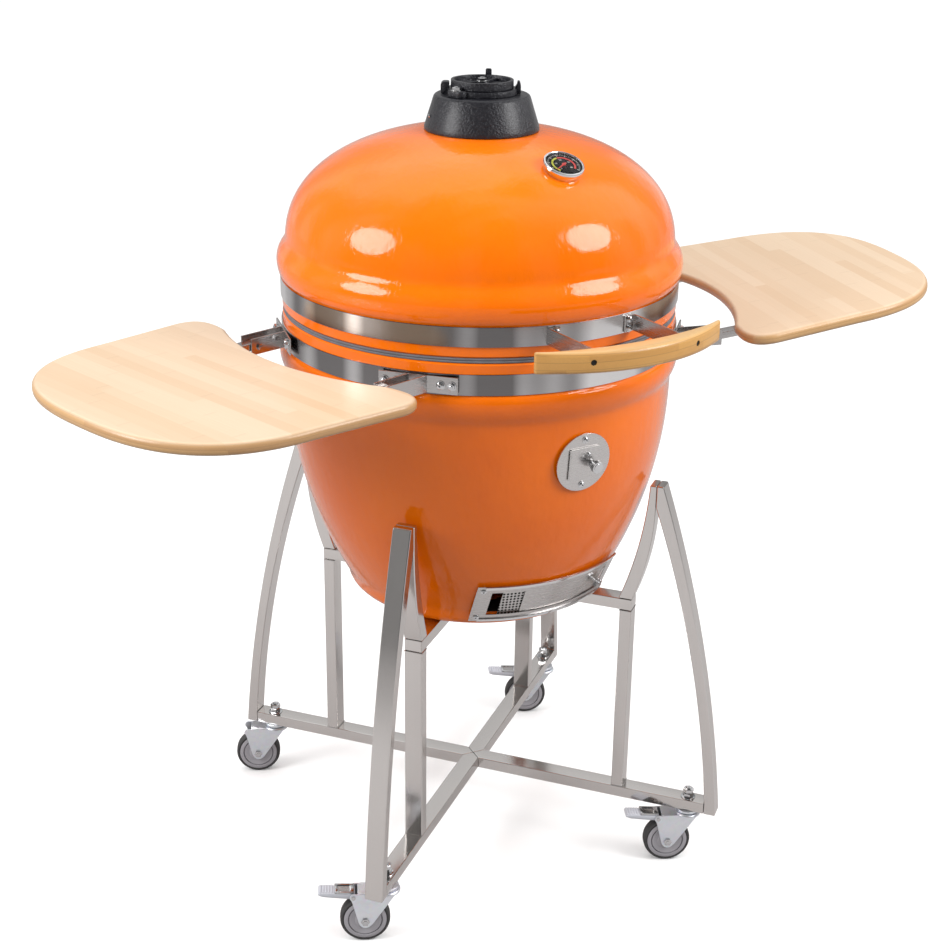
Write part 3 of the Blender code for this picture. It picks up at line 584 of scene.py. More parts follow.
def build_castor(place, at):
    body = f"castor_{place}"
    outer = 0.0163
    crown = lathe(softened([(0, DECK), (0.0205, DECK), (0.0225, DECK - 0.0020), (0.0225, DECK - 0.0050),
                            (0, DECK - 0.0050)], 0.0010, closed=False), 40)
    deck = plate(softened([(-0.010, -outer), (0.046, -outer), (0.046, outer), (-0.010, outer)], 0.006, 4),
                 DECK - 0.0045, DECK - 0.0012, 0.0010)
    shape = merge(crown, deck)
    cheek = [(-0.016, DECK - 0.002), (TRAIL - 0.011, WHEEL_R - 0.006), (TRAIL - 0.004, WHEEL_R - 0.012),
             (TRAIL + 0.004, WHEEL_R - 0.012), (TRAIL + 0.010, WHEEL_R - 0.005),
             (BRAKE_X + 0.003, DECK - 0.015), (BRAKE_X + 0.007, DECK - 0.009), (BRAKE_X + 0.003, DECK - 0.002)]
    for side in (-1, 1):
        wall = plate(softened(cheek, 0.0045, 4), -0.00122, 0.00122, 0.0007, 2, 50)
        shape = merge(shape, placed(wall, move(0, side * 0.0150, 0) @ turn("X", 90)))
    piece(f"fork_{place}", shape, "zinc", body, at, f"castor_fork_{place}")
    axle_at = at @ move(TRAIL, 0, WHEEL_R) @ turn("X", 90)
    axle = through_bolt(0.0044, 0.0165, 0.0163, hexagon(0.0070, 0.0026), hexagon(0.0070, 0.0026))
    piece(f"axle_{place}", axle, "bolt", body, axle_at)
    half = [(0.0340, 0.0098), (0.0366, 0.0108), (0.0386, 0.0096), (0.0398, 0.0062)]
    rim = half + [(WHEEL_R, 0)] + [(r, -z) for r, z in reversed(half)]
    piece(f"tyre_{place}", lathe(softened(rim, 0.001, 2), 72), "tyre", f"wheel_{place}", axle_at,
          f"castor_wheel_{place}")
    half = [(0.0339, 0.0106), (0.0330, 0.0111), (0.0278, 0.0111), (0.0274, 0.0078), (0.0262, 0.0078),
            (0.0256, 0.0111), (0.0165, 0.0104), (0.0155, 0.0110), (0.0120, 0.0118), (0.0053, 0.0119)]
    hub = half + [(r, -z) for r, z in reversed(half)]
    piece(f"hub_{place}", lathe(hub, 56), "hub", f"wheel_{place}", axle_at)
    if place != "rear_left":
        build_pedal(place, at @ move(BRAKE_X, 0, DECK - BRAKE_DROP))


def build_pedal(place, at):
    """A ribbed plastic pedal with a bright pressed-steel lever over its root."""
    body = f"brake_{place}"
    side = [(-0.0024, -0.0048), (0.008, -0.0048), (0.048, 0.0006), (0.0559, 0.0040), (0.0559, 0.0072),
            (0.048, 0.0084), (0.012, 0.0056), (-0.0024, 0.0046)]
    pad = plate(softened(side, 0.0024, 3), -0.0118, 0.0118, 0.0016, 2, 40)
    shape = placed(pad, turn("X", 90))
    for number in range(5):
        x = 0.0335 + number * 0.0044
        rib = block((x, -0.0108, 0.0048), (x + 0.0024, 0.0108, 0.0090), 0.0010, 2)
        shape = merge(shape, lifted(rib, (x - 0.0335) * 0.06))
    piece(f"pedal_{place}", shape, "pedal", body, at, f"brake_pedal_{place}")
    slope = at @ move(0, 0, 0.0052) @ turn("Y", -3.4)
    rails = ((-0.0010, -0.0122, 0.0300, -0.0088, 0.0032), (-0.0010, 0.0088, 0.0300, 0.0122, 0.0032),
             (-0.0010, -0.0122, 0.0070, 0.0122, 0.0030), (0.0255, -0.0122, 0.0300, 0.0122, 0.0030))
    lever = merge(*(block((x, y, 0.0002), (to_x, to_y, top), 0.0008) for x, y, to_x, to_y, top in rails))
    piece(f"lever_{place}", lever, "bolt", body, slope)
    window = block((0.0064, -0.0094, 0.0002), (0.0260, 0.0094, 0.0013), 0.0003)
    piece(f"lever_window_{place}", window, "bracket", body, slope)
    pin = rod(0.0034, 0.0176, -0.0176, 18)
    piece(f"pedal_pin_{place}", pin, "bolt", body, at @ turn("X", 90))


# ---------------------------------------------------------------- ceramic
BOWL_TOP, BOWL_BOTTOM, WALL = 0.848, 0.4778, 0.025


def bowl_radius(z):
    depth = max((BOWL_TOP - z) / (BOWL_TOP - BOWL_BOTTOM), 0.0)
    return 0.3090 * (1 - 0.345 * depth ** 2.1)


def dome_height(r, radius=0.306, rise=0.180):
    return 1.050 + rise * max(0.0, 1 - (r / radius) ** 2.3) ** (1 / 2.3)


def build_ceramic():
    shoulder = [(LIP_R - 0.0025, 0.9470), (LIP_R, 0.9445), (LIP_R, 0.8990), (0.3148, 0.8967),
                (0.3172, 0.8930), (0.3186, 0.8880), (0.3190, 0.8825), (0.3186, 0.8760), (0.3172, 0.8690),
                (0.3148, 0.8625),
                (0.3120, 0.8570), (0.3098, 0.8520)]
    wall = [(bowl_radius(z), z) for z in [0.8465 - 0.0119 * k for k in range(30)]]
    foot = wall[-1][0]
    base = [(foot - 0.0010, 0.4938), (foot - 0.0040, 0.4870), (foot - 0.0090, 0.4815),
            (foot - 0.0150, 0.4786), (foot - 0.0230, BOWL_BOTTOM), (0, BOWL_BOTTOM)]
    floor = BOWL_BOTTOM + WALL
    inner = [(0, floor), (0.150, floor), (0.178, floor + 0.006), (0.200, floor + 0.022)]
    inner += [(bowl_radius(z) - WALL, z) for z in (0.550, 0.590, 0.640, 0.700, 0.770, 0.835)]
    inner += [(0.2800, 0.880), (0.2800, 0.9450), (0.2818, 0.9470)]
    bowl = piece("bowl", lathe(shoulder + wall + base + inner, 144), "glaze", "stand", BODY,
                 "ceramic_base")
    hole = block((-0.104, -0.30, 0.5068), (0.104, -0.12, 0.5522))
    port = placed(rod(0.0178, 0.08, -0.08, 32), move(0, -0.30, PORT_Z) @ turn("X", 90 + PORT_TILT))
    cut(bowl, placed(hole, BODY), placed(port, BODY))
    half, low_radius, high_radius = 0.1036, 0.2185, 0.2335
    mouth = [(half * k / 12, -sqrt(low_radius ** 2 - (half * k / 12) ** 2)) for k in range(-12, 13)]
    sleeve = plate(mouth + [(half, -0.165), (-half, -0.165)], 0.5071, 0.5519)
    for vert in sleeve.verts:
        if vert.co.z > 0.53 and vert.co.y < -0.17:
            vert.co.y = -sqrt(high_radius ** 2 - vert.co.x ** 2)
    # The throat is lined near-black: painted shade inside the draft opening.
    throat = piece("draft_throat", sleeve, "dark", "stand", BODY)
    cut(throat, placed(block((-0.1028, -0.30, 0.5079), (0.1028, -0.12, 0.5511)), BODY))
    start, stop = 0.094, 0.3054
    spread = [start + (stop - start) * sin(radians(90 * step / 26)) for step in range(27)]
    crown = [(r, min(dome_height(r), 1.2255)) for r in spread]
    skirt = [(0.3062, 1.0610), (0.3078, 1.0565), (0.3108, 1.0520), (0.3142, 1.0470), (0.3172, 1.0410),
             (0.3192, 1.0345), (0.3200, 1.0280), (0.3197, 1.0220), (0.3188, 1.0160), (0.3172, 1.0100),
             (0.3150, 1.0055), (LIP_R + 0.0006, 1.0032), (LIP_R, 1.0020), (LIP_R, 0.9578),
             (LIP_R - 0.0025, 0.9553)]
    lower = [(0.2818, 0.9553), (0.2800, 0.9573), (0.2800, 1.0100)]
    inside = 0.283
    radii = [inside * sin(radians(a)) for a in (80, 74, 66, 58, 50, 42, 34, 26, 18, 13)]
    ceiling = [(r, dome_height(r, inside, 0.157)) for r in radii]
    top = [(0.0550, 1.2062), (0.0550, 1.2240), (0.0565, 1.2255)]
    piece("dome", lathe(top + crown + skirt + lower + ceiling, 144), "glaze", "lid", BODY,
          "ceramic_dome")


def felt_ring(name, low, high, body, node):
    middle, half = (low + high) / 2, (high - low) / 2
    bulge = [(0.2835, low), (0.2835, high), (0.3085, high)]
    bulge += [(0.3106 + 0.0012 * cos(radians(a)), middle + half * sin(radians(a)))
              for a in (80, 50, 20, -20, -50, -80)]
    bulge.append((0.3085, low))
    piece(name, lathe(bulge, 144), "felt", body, BODY, node)


def build_bands():
    for name, low, high, body, node in (("hoop_lower", 0.8995, 0.9315, "stand", "lower_band"),
                                        ("hoop_upper", 0.9722, 1.0020, "lid", "upper_band")):
        outline = [(LIP_R + GAP, low), (BAND_R, low), (BAND_R, high), (LIP_R + GAP, high)]
        piece(name, lathe(softened(outline, 0.0008)[::-1], 168), "band", body, BODY, node)
    felt_ring("felt_lower", 0.9473, 0.95100, "stand", "base_gasket")
    felt_ring("felt_upper", 0.9513, 0.9550, "lid", "dome_gasket")


def on_band(azimuth, z, lift):
    """A place on a band, its own Z pointing outwards and its Y up; azimuth is measured from the front."""
    return BODY @ turn("Z", azimuth) @ move(0, -BAND_R - lift, z) @ turn("X", 90)


def bolt_on(name, body, at, radius=0.0040, height=0.0030, washer=0.0058, kind="button"):
    ring = knob(washer, 0.0010, 0.0003, 28)
    head = dome_head(radius, height) if kind == "button" else hexagon(radius, height)
    piece(name, merge(ring, placed(head, move(0, 0, 0.0010))), "bolt", body, at)


# ---------------------------------------------------------------- handle
HANDLE = BODY @ turn("Z", 1.1)
HANDLE_Z = (0.9705, 1.0015)


FRONT_BEND, BACK_BEND = 0.270, 0.480  # radii of the bar's front and back


def handle_front(x):
    return -0.4569 + (FRONT_BEND - sqrt(FRONT_BEND ** 2 - x * x))


def handle_back(x):
    return -0.425 + (BACK_BEND - sqrt(BACK_BEND ** 2 - x * x))


def handle_section(x, inset):
    """The handle's cross-section at x: a rectangle with well rounded corners."""
    front, back = handle_front(x) + inset, handle_back(x) - inset
    low, high = HANDLE_Z[0] + inset, HANDLE_Z[1] - inset
    r = min(0.0066, (back - front) * 0.45)
    points = []
    for y, z, first in ((back - r, low + r, -90), (back - r, high - r, 0), (front + r, high - r, 90),
                        (front + r, low + r, 180)):
        for step in range(6):
            angle = radians(first + 18 * step)
            points.append((x, y + r * cos(angle), z + r * sin(angle)))
    return points


def loft(sections):
    """Skin closed sections of equal length, with flat ends."""
    shape = bmesh.new()
    rings = [[shape.verts.new(point) for point in section] for section in sections]
    for ring, following in zip(rings, rings[1:]):
        for k in range(len(ring)):
            nxt = (k + 1) % len(ring)
            shape.faces.new((ring[k], ring[nxt], following[nxt], following[k]))
    shape.faces.new(rings[0])
    shape.faces.new(rings[-1][::-1])
    return shape


def build_handle():
    middle = [(0.1574 * (step / 24 - 1), 0.0) for step in range(49)]
    ends = [(0.1600, 0.0019), (0.1596, 0.0009), (0.1588, 0.0003)]
    stations = [(-x, inset) for x, inset in ends] + middle + ends[::-1]
    sections = [handle_section(x, inset) for x, inset in stations]
    bar = piece("handle_bar", loft(sections), "handle_wood", "lid", HANDLE, "handle", sharp=40)
    bores = []
    for side, name in SIDES:
        x = side * 0.090
        slope = degrees(asin(x / FRONT_BEND))
        at = HANDLE @ move(x, handle_front(x), UPPER_Z) @ turn("Z", slope) @ turn("X", 90)
        bores.append(placed(rod(0.0044, 0.004, -0.010, 24), at))
        screw = lifted(knob(0.0043, 0.0084), -0.0098)
        # The screw is near-black: painted shade of the bore it sits deep in.
        piece(f"handle_screw_{name}", screw, "dark", "lid", at)
    cut(bar, *bores)
    for side, name in SIDES:
        build_handle_bracket(side, name)


def build_handle_bracket(side, name):
    az = radians(13.2)
    outward = Vector((sin(az), -cos(az)))
    along = Vector((cos(az), sin(az)))

    def point(rho, tau):
        return outward * rho + along * tau

    inner, outer = BAND_R + GAP, BAND_R + GAP + 0.003
    left_x = point(outer, 0.001).x
    right_x = left_x + 0.003
    tip = handle_back(right_x) + GAP
    root = point(inner, 0.004)
    outline = [tuple(point(inner, -0.016)), tuple(point(outer, -0.016)), (left_x, point(outer, 0.001).y),
               (left_x, tip), (right_x, tip), (right_x, root.y - 0.002), tuple(root)]
    outline = [(x * side, y) for x, y in outline][::side]
    piece(f"handle_plate_{name}", plate(outline, 0.9735, 0.9985, 0.0006, 2), "bracket", "lid", HANDLE,
          f"handle_bracket_{name}")
    for z in (0.9795, 0.9930):
        spot = outward * (outer + 0.0001) - along * 0.0085
        at = HANDLE @ move(spot.x * side, spot.y, z) @ turn("Z", degrees(az) * side) @ turn("X", 90)
        bolt_on(f"handle_bolt_{name}_{int(z * 10000)}", "lid", at, 0.0050, 0.0040, 0.0064)


# ---------------------------------------------------------------- thermometer
def build_thermometer():
    slope = (dome_height(0.201) - dome_height(0.199)) / 0.002
    dial = BODY @ move(0.018, -0.200, dome_height(0.200)) @ Matrix.Rotation(atan(-slope), 4, "X")
    rim = [(0.0290, 0.0035), (0.0306, 0.0040), (0.0312, 0.0052), (0.0312, 0.0105), (0.0304, 0.0121),
           (0.0294, 0.0125), (0.0284, 0.0125), (0.0276, 0.0119), (0.0270, 0.0100), (0.0270, 0.0040)]
    neck = lathe([(0.0240, 0.0045), (0.0240, -0.0050), (0.0288, -0.0050), (0.0288, 0.0045)], 80)
    probe = rod(0.0045, 0.0030, -0.0500, 24)
    case = merge(lathe(rim[::-1], 80), neck, probe)
    piece("gauge_bezel", case, "chrome", "lid", dial, "thermometer_case")
    piece("gauge_face", lifted(knob(0.0271, 0.0050, 0.0002, 64), 0.0040), "dial", "lid", dial)
    piece("gauge_glass", lifted(knob(0.0272, 0.0006, 0.0002, 64), 0.0112), "glass", "lid", dial)
    ticks = bmesh.new()
    for number in range(41):
        long = number % 5 == 0
        inner, wide = (0.0205, 0.00050) if long else (0.0225, 0.00028)
        mark = block((inner, -wide, 0), (0.0248, wide, 0.00020))
        ticks = merge(ticks, placed(mark, turn("Z", -45 + number * 6.75)))
    piece("gauge_ticks", ticks, "mark_white", "lid", dial @ move(0, 0, 0.00905))
    for name, look, first, last in (("cool", "mark_green", 150, 225), ("warm", "mark_green", 100, 146),
                                    ("hot", "mark_red", -45, 96)):
        arc = []
        for radius, order in ((0.0186, range(13)), (0.0156, range(12, -1, -1))):
            for step in order:
                angle = radians(first + (last - first) * step / 12)
                arc.append((radius * cos(angle), radius * sin(angle)))
        piece(f"gauge_zone_{name}", plate(arc, 0, 0.00018), look, "lid", dial @ move(0, 0, 0.00905))
    numbers(dial)
    pointer = plate([(-0.0016, -0.0060), (0.0016, -0.0060), (0.0005, 0.0205), (-0.0005, 0.0205)],
                    0.0095, 0.0100, 0.0001)
    boss = lifted(knob(0.0030, 0.0012, 0.0004, 28), 0.0093)
    needle = merge(placed(pointer, turn("Z", 120)), boss)
    piece("gauge_needle", needle, "mark_red", "needle_body", dial, "thermometer_needle")


def numbers(dial):
    """Plain dial numbers, in tens of degrees."""
    shapes = bmesh.new()
    for number in range(5):
        text = bpy.data.curves.new("number", "FONT")
        text.body, text.size = str(number * 10), 0.0044
        text.align_x, text.align_y, text.extrude = "CENTER", "CENTER", 0.00008
        letter = linked("number", text)
        bpy.context.view_layer.update()
        mesh = bpy.data.meshes.new_from_object(letter.evaluated_get(bpy.context.evaluated_depsgraph_get()))
        angle = radians(225 - number * 67.5)
        one = bmesh.new()
        one.from_mesh(mesh)
        shapes = merge(shapes, placed(one, move(0.0118 * cos(angle), 0.0118 * sin(angle), 0)))
        bpy.data.objects.remove(letter, do_unlink=True)
    piece("gauge_numbers", shapes, "mark_white", "lid", dial @ move(0, 0, 0.00915))


# ---------------------------------------------------------------- side port and draft vent
def build_port():
    at = BODY @ move(0, -bowl_radius(PORT_Z) - GAP, PORT_Z) @ turn("X", 90 + PORT_TILT)
    ring = [(0.0180, 0.0030), (0.0470, 0.0030), (0.0470, 0.0002), (0.0180, 0.0002)]
    disc = lathe(softened(ring, 0.0007), 96)
    piece("port_disc", disc, "plate", "stand", at, "port_plate")
    for number, y in enumerate((0.037, -0.037)):
        bolt_on(f"port_screw_{number}", "stand", at @ move(0, y, 0.0030), 0.0042, 0.0026, 0.0060)
    hinge = at @ move(-0.027, 0, 0.0045)
    leaf = [(0.0005, -0.0249), (0.0539, -0.0249), (0.0539, 0.0249), (0.0005, 0.0249)]
    leaf = plate(softened(leaf, 0.0025, 4), -0.0007, 0.0008, 0.0003, 2, 50)
    barrel = placed(rod(0.0014, 0.0240, -0.0240, 16),
                    move(0.0012, 0, 0.0006) @ turn("X", 90))
    piece("port_leaf", merge(leaf, barrel), "plate", "port_door_body", hinge, "port_door")
    grip = knurled(0.0094, 0.0078)
    stud = lathe([(0, 0.0120), (0.0030, 0.0120), (0.0030, 0.0030), (0.0062, 0.0030), (0.0062, 0.0008),
                  (0, 0.0008)], 20)
    piece("port_knob", merge(stud, lifted(grip, 0.0110)), "bolt", "port_door_body",
          hinge @ move(0.040, -0.003, 0))
    bolt_on("port_leaf_screw", "port_door_body", hinge @ move(0.034, 0.013, 0.0008), 0.0026, 0.0018, 0.0036)


def knurled(radius, height, teeth=26):
    """A knurled grip standing on z = 0."""
    outline = []
    for k in range(teeth * 2):
        r = radius if k % 2 else radius * 0.93
        outline.append((r * cos(pi * k / teeth), r * sin(pi * k / teeth)))
    return merge(plate(outline, 0, height), lifted(knob(radius * 0.7, 0.0006, 0.0003), height))


DRAFT_Z, DRAFT_R = (0.492, 0.566), (0.2220, 0.2545)
DRAFT_HALF = (radians(32.7), radians(29.0))


def cone_point(share_round, z, sink):
    """A point on the draft panel's cone; share_round runs from -1 to 1 across it."""
    share = (z - DRAFT_Z[0]) / (DRAFT_Z[1] - DRAFT_Z[0])
    radius = DRAFT_R[0] + share * (DRAFT_R[1] - DRAFT_R[0]) - sink
    angle = share_round * (DRAFT_HALF[0] + share * (DRAFT_HALF[1] - DRAFT_HALF[0]))
    return Vector((radius * sin(angle), -radius * cos(angle), z))


def cone_sheet(start, stop, low, high, sink, thick, window=(), columns=56):
    """A bent sheet of even thickness, with an optional window (start, stop, low, high)."""
    shape = bmesh.new()
    turns = sorted({start + (stop - start) * k / columns for k in range(columns + 1)} | set(window[:2]))
    levels = sorted({low, high} | set(window[2:]))
    layers = [[[shape.verts.new(cone_point(t, z, depth)) for t in turns] for z in levels]
              for depth in (sink, sink + thick)]

    def kept(column, level):
        if not 0 <= column < len(turns) - 1 or not 0 <= level < len(levels) - 1:
            return False
        if not window:
            return True
        middle_t, middle_z = (turns[column] + turns[column + 1]) / 2, (levels[level] + levels[level + 1]) / 2
        return not (window[0] < middle_t < window[1] and window[2] < middle_z < window[3])

    front, back = layers
    for level in range(len(levels) - 1):
        for column in range(len(turns) - 1):
            if not kept(column, level):
                continue
            corners = [(level, column), (level, column + 1), (level + 1, column + 1), (level + 1, column)]
            shape.faces.new([front[a][b] for a, b in corners])
            shape.faces.new([back[a][b] for a, b in reversed(corners)])
            steps = ((0, -1), (1, 0), (0, 1), (-1, 0))
            for (a, b), (c, d), step in zip(corners, corners[1:] + corners[:1], steps):
                if not kept(column + step[0], level + step[1]):
                    shape.faces.new((front[a][b], back[a][b], back[c][d], front[c][d]))
    return shape


def build_draft():
    at = BODY
    frame_sheet = cone_sheet(-1.03, 1.11, *DRAFT_Z, 0.0003, 0.0016, (-0.8355, 0.9155, 0.506, 0.553))
    piece("draft_surround", frame_sheet, "plate", "stand", at, "draft_frame")
    for name, low, high in (("top", 0.5605, 0.5655), ("bottom", 0.4925, 0.4970)):
        rail = cone_sheet(-0.93, 1.10, low, high, -0.0019, 0.0022)
        edges = [edge for edge in rail.edges if edge.calc_face_angle(0) > 0.8]
        bmesh.ops.bevel(rail, geom=edges, offset=0.0009, segments=2, profile=0.5, affect="EDGES")
        piece(f"draft_rail_{name}", rail, "chrome", "stand", at)
    for number, z in enumerate((0.557, 0.501)):
        spot = cone_point(-0.95, z, 0.0002)
        outward = Vector((spot.x, spot.y, 0)).normalized()
        facing = outward.to_track_quat("Z", "Y").to_matrix().to_4x4()
        piece(f"draft_rivet_{number}", dome_head(0.0050, 0.0030), "bolt", "stand",
              BODY @ Matrix.Translation(spot) @ facing)
    panel = cone_sheet(-0.41, 0.90, 0.500, 0.559, 0.0027, 0.0010)
    piece("draft_panel", panel, "plate", "draft_door_body", at, "draft_door")
    lean = degrees(atan2(DRAFT_R[1] - DRAFT_R[0], DRAFT_Z[1] - DRAFT_Z[0]))
    spot = BODY @ turn("Z", 22.5) @ move(0, -0.2360, 0.5300) @ turn("X", 90 + lean)
    stud = rod(0.0022, 0.010, 0.0, 18)
    grip = placed(knurled(0.0078, 0.0066, 20), move(0, 0, 0.0066))
    piece("draft_grip", merge(stud, grip), "bolt", "draft_door_body", spot)
    screen = cone_sheet(-0.69, 0.50, 0.501, 0.558, 0.0046, 0.0008)
    piece("draft_mesh", screen, "perforated", "draft_screen_body", at, "draft_screen")


# ---------------------------------------------------------------- shelves
def shelf_outline():
    """The board's outline: u runs outwards from the grill's axis, v along the shelf."""
    half = []
    for step in range(13):
        angle = radians(27.0 * step / 12)
        half.append((0.408 * cos(angle), 0.408 * sin(angle)))
    start, control, end = Vector(half[-1]), Vector((0.345, 0.262)), Vector((0.402, 0.262))
    half += [bend(start, control, end, step / 12) for step in range(1, 13)]
    for step in range(1, 31):
        angle = radians(90 * (1 - step / 30))
        u = 0.520 + 0.2257 * max(0.0, cos(angle)) ** (2 / 2.6)
        half.append((u, 0.250 * max(0.0, sin(angle)) ** (2 / 2.6) if step < 30 else 0.0))
    return half + [(u, -v) for u, v in half[-2:0:-1]]


def clip_outline(side):
    v = side * ARM_V
    lean = asin(v / (BAND_R + GAP))
    outward = Vector((cos(lean), sin(lean)))
    along = Vector((-sin(lean), cos(lean)))
    inner, outer, reach, thick = BAND_R + GAP, BAND_R + 0.0030, 0.350, 0.0025
    end = along * 0.060

    def crossing(level):
        return outward * outer + along * ((level - outer * outward.y) / along.y)

    outline = [outward * inner - end, outward * inner + end, outward * outer + end]
    for edge in (1, -1):
        far, near = v + edge * (0.0110 + thick), v + edge * 0.0110
        first, second = (far, near) if edge > 0 else (near, far)
        outline += [crossing(first), Vector((reach, first)), Vector((reach, second)), crossing(second)]
    outline.append(outward * outer - end)
    return [tuple(point) for point in outline], lean


def build_shelf(name):
    fixed = BODY @ turn("Z", SHELF_TURNS[name])
    fold = fixed @ move(PIVOT_U, 0, PIVOT_Z) @ turn("Y", -SHELF_LIFT[name]) @ move(-PIVOT_U, 0, -PIVOT_Z)
    body = f"shelf_{name}"
    board = plate(shelf_outline(), 0.9205, 0.9385, 0.0075, 5, 55)
    axes = [fold.to_3x3() @ Vector(axis) for axis in ((0, 1, 0), (1, 0, 0), (0, 0, 1))]
    look = bamboo(f"board_bamboo_{name}", 0.021, 0.0065, (0.73, 0.565, 0.40), (0.65, 0.46, 0.29),
                  ((0.66, 0.37, 0.13), (0.50, 0.25, 0.08)), *axes)
    piece(f"board_{name}", board, look, body, fold, f"shelf_board_{name}", sharp=50)
    for side, end in ((-1, "a"), (1, "b")):
        v = side * ARM_V
        outline, lean = clip_outline(side)
        piece(f"clip_{name}_{end}", plate(outline, 0.9025, 0.9285, 0.0005, 2), "bracket", "stand", fixed,
              f"shelf_clip_{name}_{end}")
        beam = block((0.3250, v - 0.0100, 0.9085), (0.560, v + 0.0100, 0.9202), 0.0012, 2)
        bolt = through_bolt(0.0029, 0.0158, 0.0138, dome_head(0.0048, 0.0026), hexagon(0.0050, 0.0030))
        pin = placed(bolt, move(PIVOT_U, v, PIVOT_Z) @ turn("X", 90))
        piece(f"arm_{name}_{end}", merge(beam, pin), "bracket", body, fold,
              f"shelf_arm_{name}_{end}")
        for number, u in enumerate((0.430, 0.520)):
            under = fold @ move(u, v, 0.9085) @ turn("X", 180)
            bolt_on(f"board_bolt_{name}_{end}_{number}", body, under, 0.0046, 0.0028, 0.0070)
        for number, offset in enumerate((-0.051, -0.034, 0.034, 0.051)):
            at = fixed @ Matrix.Rotation(lean, 4, "Z") @ move(BAND_R + 0.0030, offset, LOWER_Z)
            kind = "hex" if number in (0, 3) else "button"
            bolt_on(f"clip_bolt_{name}_{end}_{number}", "stand", at @ turn("Y", 90), 0.0058, 0.0042,
                    0.0070, kind)


# ---------------------------------------------------------------- top vent
VENT = BODY @ turn("Z", -31)
CONE_TOP = 1.2790
CAP_LOW = CONE_TOP + GAP


def vent_part(name, shape, look="iron", body="vent_cap_body", at=VENT, replaces=None):
    return piece(name, shape, look, body, at, replaces)


def cut_openings(made, radius, z):
    """Cut the vent's three round openings."""
    cut(made, *(placed(rod(radius, 0.03, -0.03, 32), VENT @ turn("Z", 120 * k) @ move(0.024, 0, z))
                for k in range(3)))


def build_vent():
    seat = 1.2258
    wall = [(0.0690, CONE_TOP), (0.0712, 1.2786), (0.0730, 1.2774), (0.0745, 1.2752), (0.0880, 1.2325),
            (0.0890, 1.2280), (0.0886, seat), (0.0560, seat), (0.0500, 1.2320), (0.0500, 1.2780),
            (0.0510, CONE_TOP)]
    vent_part("vent_cone", lathe(wall, 112), "iron", "lid", BODY, "vent_base")
    rivet_at = VENT @ turn("Z", -73) @ move(0, -0.0832, 1.2480) @ turn("X", 90 + 17)
    vent_part("vent_rivet", dome_head(0.0030, 0.0018), "bolt", "lid", rivet_at)
    cap = [(0, CAP_LOW + 0.0040), (0.0440, CAP_LOW + 0.0040), (0.0440, 1.2880), (0.0535, 1.2880),
           (0.0535, CAP_LOW), (0, CAP_LOW)]
    made = vent_part("vent_lid", lathe(softened(cap, 0.0010, 3, closed=False), 96), replaces="vent_cap")
    cut_openings(made, 0.0113, 1.2880)
    lug = [(-0.0633, 1.2796), (-0.0502, 1.2796), (-0.0502, 1.2973), (-0.0600, 1.2973), (-0.0633, 1.2935)]
    lug = plate(softened(lug, 0.0028, 4), -0.0088, 0.0088, 0.0007)
    vent_part("vent_hinge_lug", placed(lug, turn("X", 90)))
    hook = [(0.0502, 1.2798), (0.0590, 1.2798), (0.0590, 1.2925), (0.0570, 1.2990), (0.0535, 1.2990),
            (0.0530, 1.2940), (0.0502, 1.2905)]
    hook = plate(softened(hook, 0.0016, 3), -0.0062, 0.0062, 0.0009)
    vent_part("vent_hook", placed(hook, turn("X", 90)))
    clamp = [(-0.0160, -0.0520), (-0.0160, -0.0590), (-0.0110, -0.0650), (0.0110, -0.0650),
             (0.0160, -0.0590), (0.0160, -0.0520)]
    clamp_at = VENT @ turn("Z", -42)
    vent_part("vent_clamp", plate(softened(clamp, 0.0010, 2), CAP_LOW, 1.2892, 0.0010), at=clamp_at)
    head = merge(placed(knob(0.0085, 0.0014), move(0, -0.0578, 1.2892)),
                 placed(hexagon(0.0066, 0.0042), move(0, -0.0578, 1.2904)))
    vent_part("vent_clamp_screw", head, "bolt", at=clamp_at)
    build_vent_wheel()


def build_vent_wheel():
    body = "vent_wheel_body"
    disc = vent_part("wheel_disc", rod(0.0435, 1.2930, 1.2886, 96), "iron", body, replaces="vent_wheel")
    cut_openings(disc, 0.0115, 1.2900)
    rim = [(0.0428, 1.2940), (0.0432, 1.3010), (0.0480, 1.3010), (0.0480, 1.2884), (0.0428, 1.2884)]
    spokes = lathe(softened(rim, 0.0010, 3), 96)
    for number in range(3):
        rib = block((0.004, -0.0022, 1.2925), (0.0435, 0.0022, 1.2972), 0.0010)
        spokes = merge(spokes, placed(rib, turn("Z", 60 + 120 * number)))
    tab = [(0.0045, 1.2950), (0.0145, 1.2950), (0.0141, 1.3103), (0.0049, 1.3103)]
    tab = plate(softened(tab, 0.0026, 4), -0.0468, -0.0436, 0.0008)
    hub = lifted(knob(0.0085, 0.0052, 0.0012, 36), 1.2925)
    vent_part("wheel_ring", merge(spokes, hub, placed(tab, turn("X", 90))), "iron", body)
    nut = merge(lifted(knob(0.0088, 0.0014), 1.2975), lifted(hexagon(0.0070, 0.0040), 1.2988))
    vent_part("wheel_nut", nut, "bolt", body)


# ---------------------------------------------------------------- hinge and band clamps
def build_hinge():
    for side, name in SIDES:
        for z, body in ((LOWER_Z, "stand"), (UPPER_Z, "lid")):
            at = BODY @ move(side * 0.030, BAND_R + 0.0040, z) @ turn("X", -90)
            bolt_on(f"hinge_bolt_{body}_{name}", body, at, 0.0050, 0.0036, 0.0072)
    for side, name in SIDES:
        at = BODY @ move(side * 0.0560, 0.352, 0.951) @ turn("Y", 90 * side)
        piece(f"hinge_pin_head_{name}", dome_head(0.0078, 0.0040), "bolt", "stand", at)


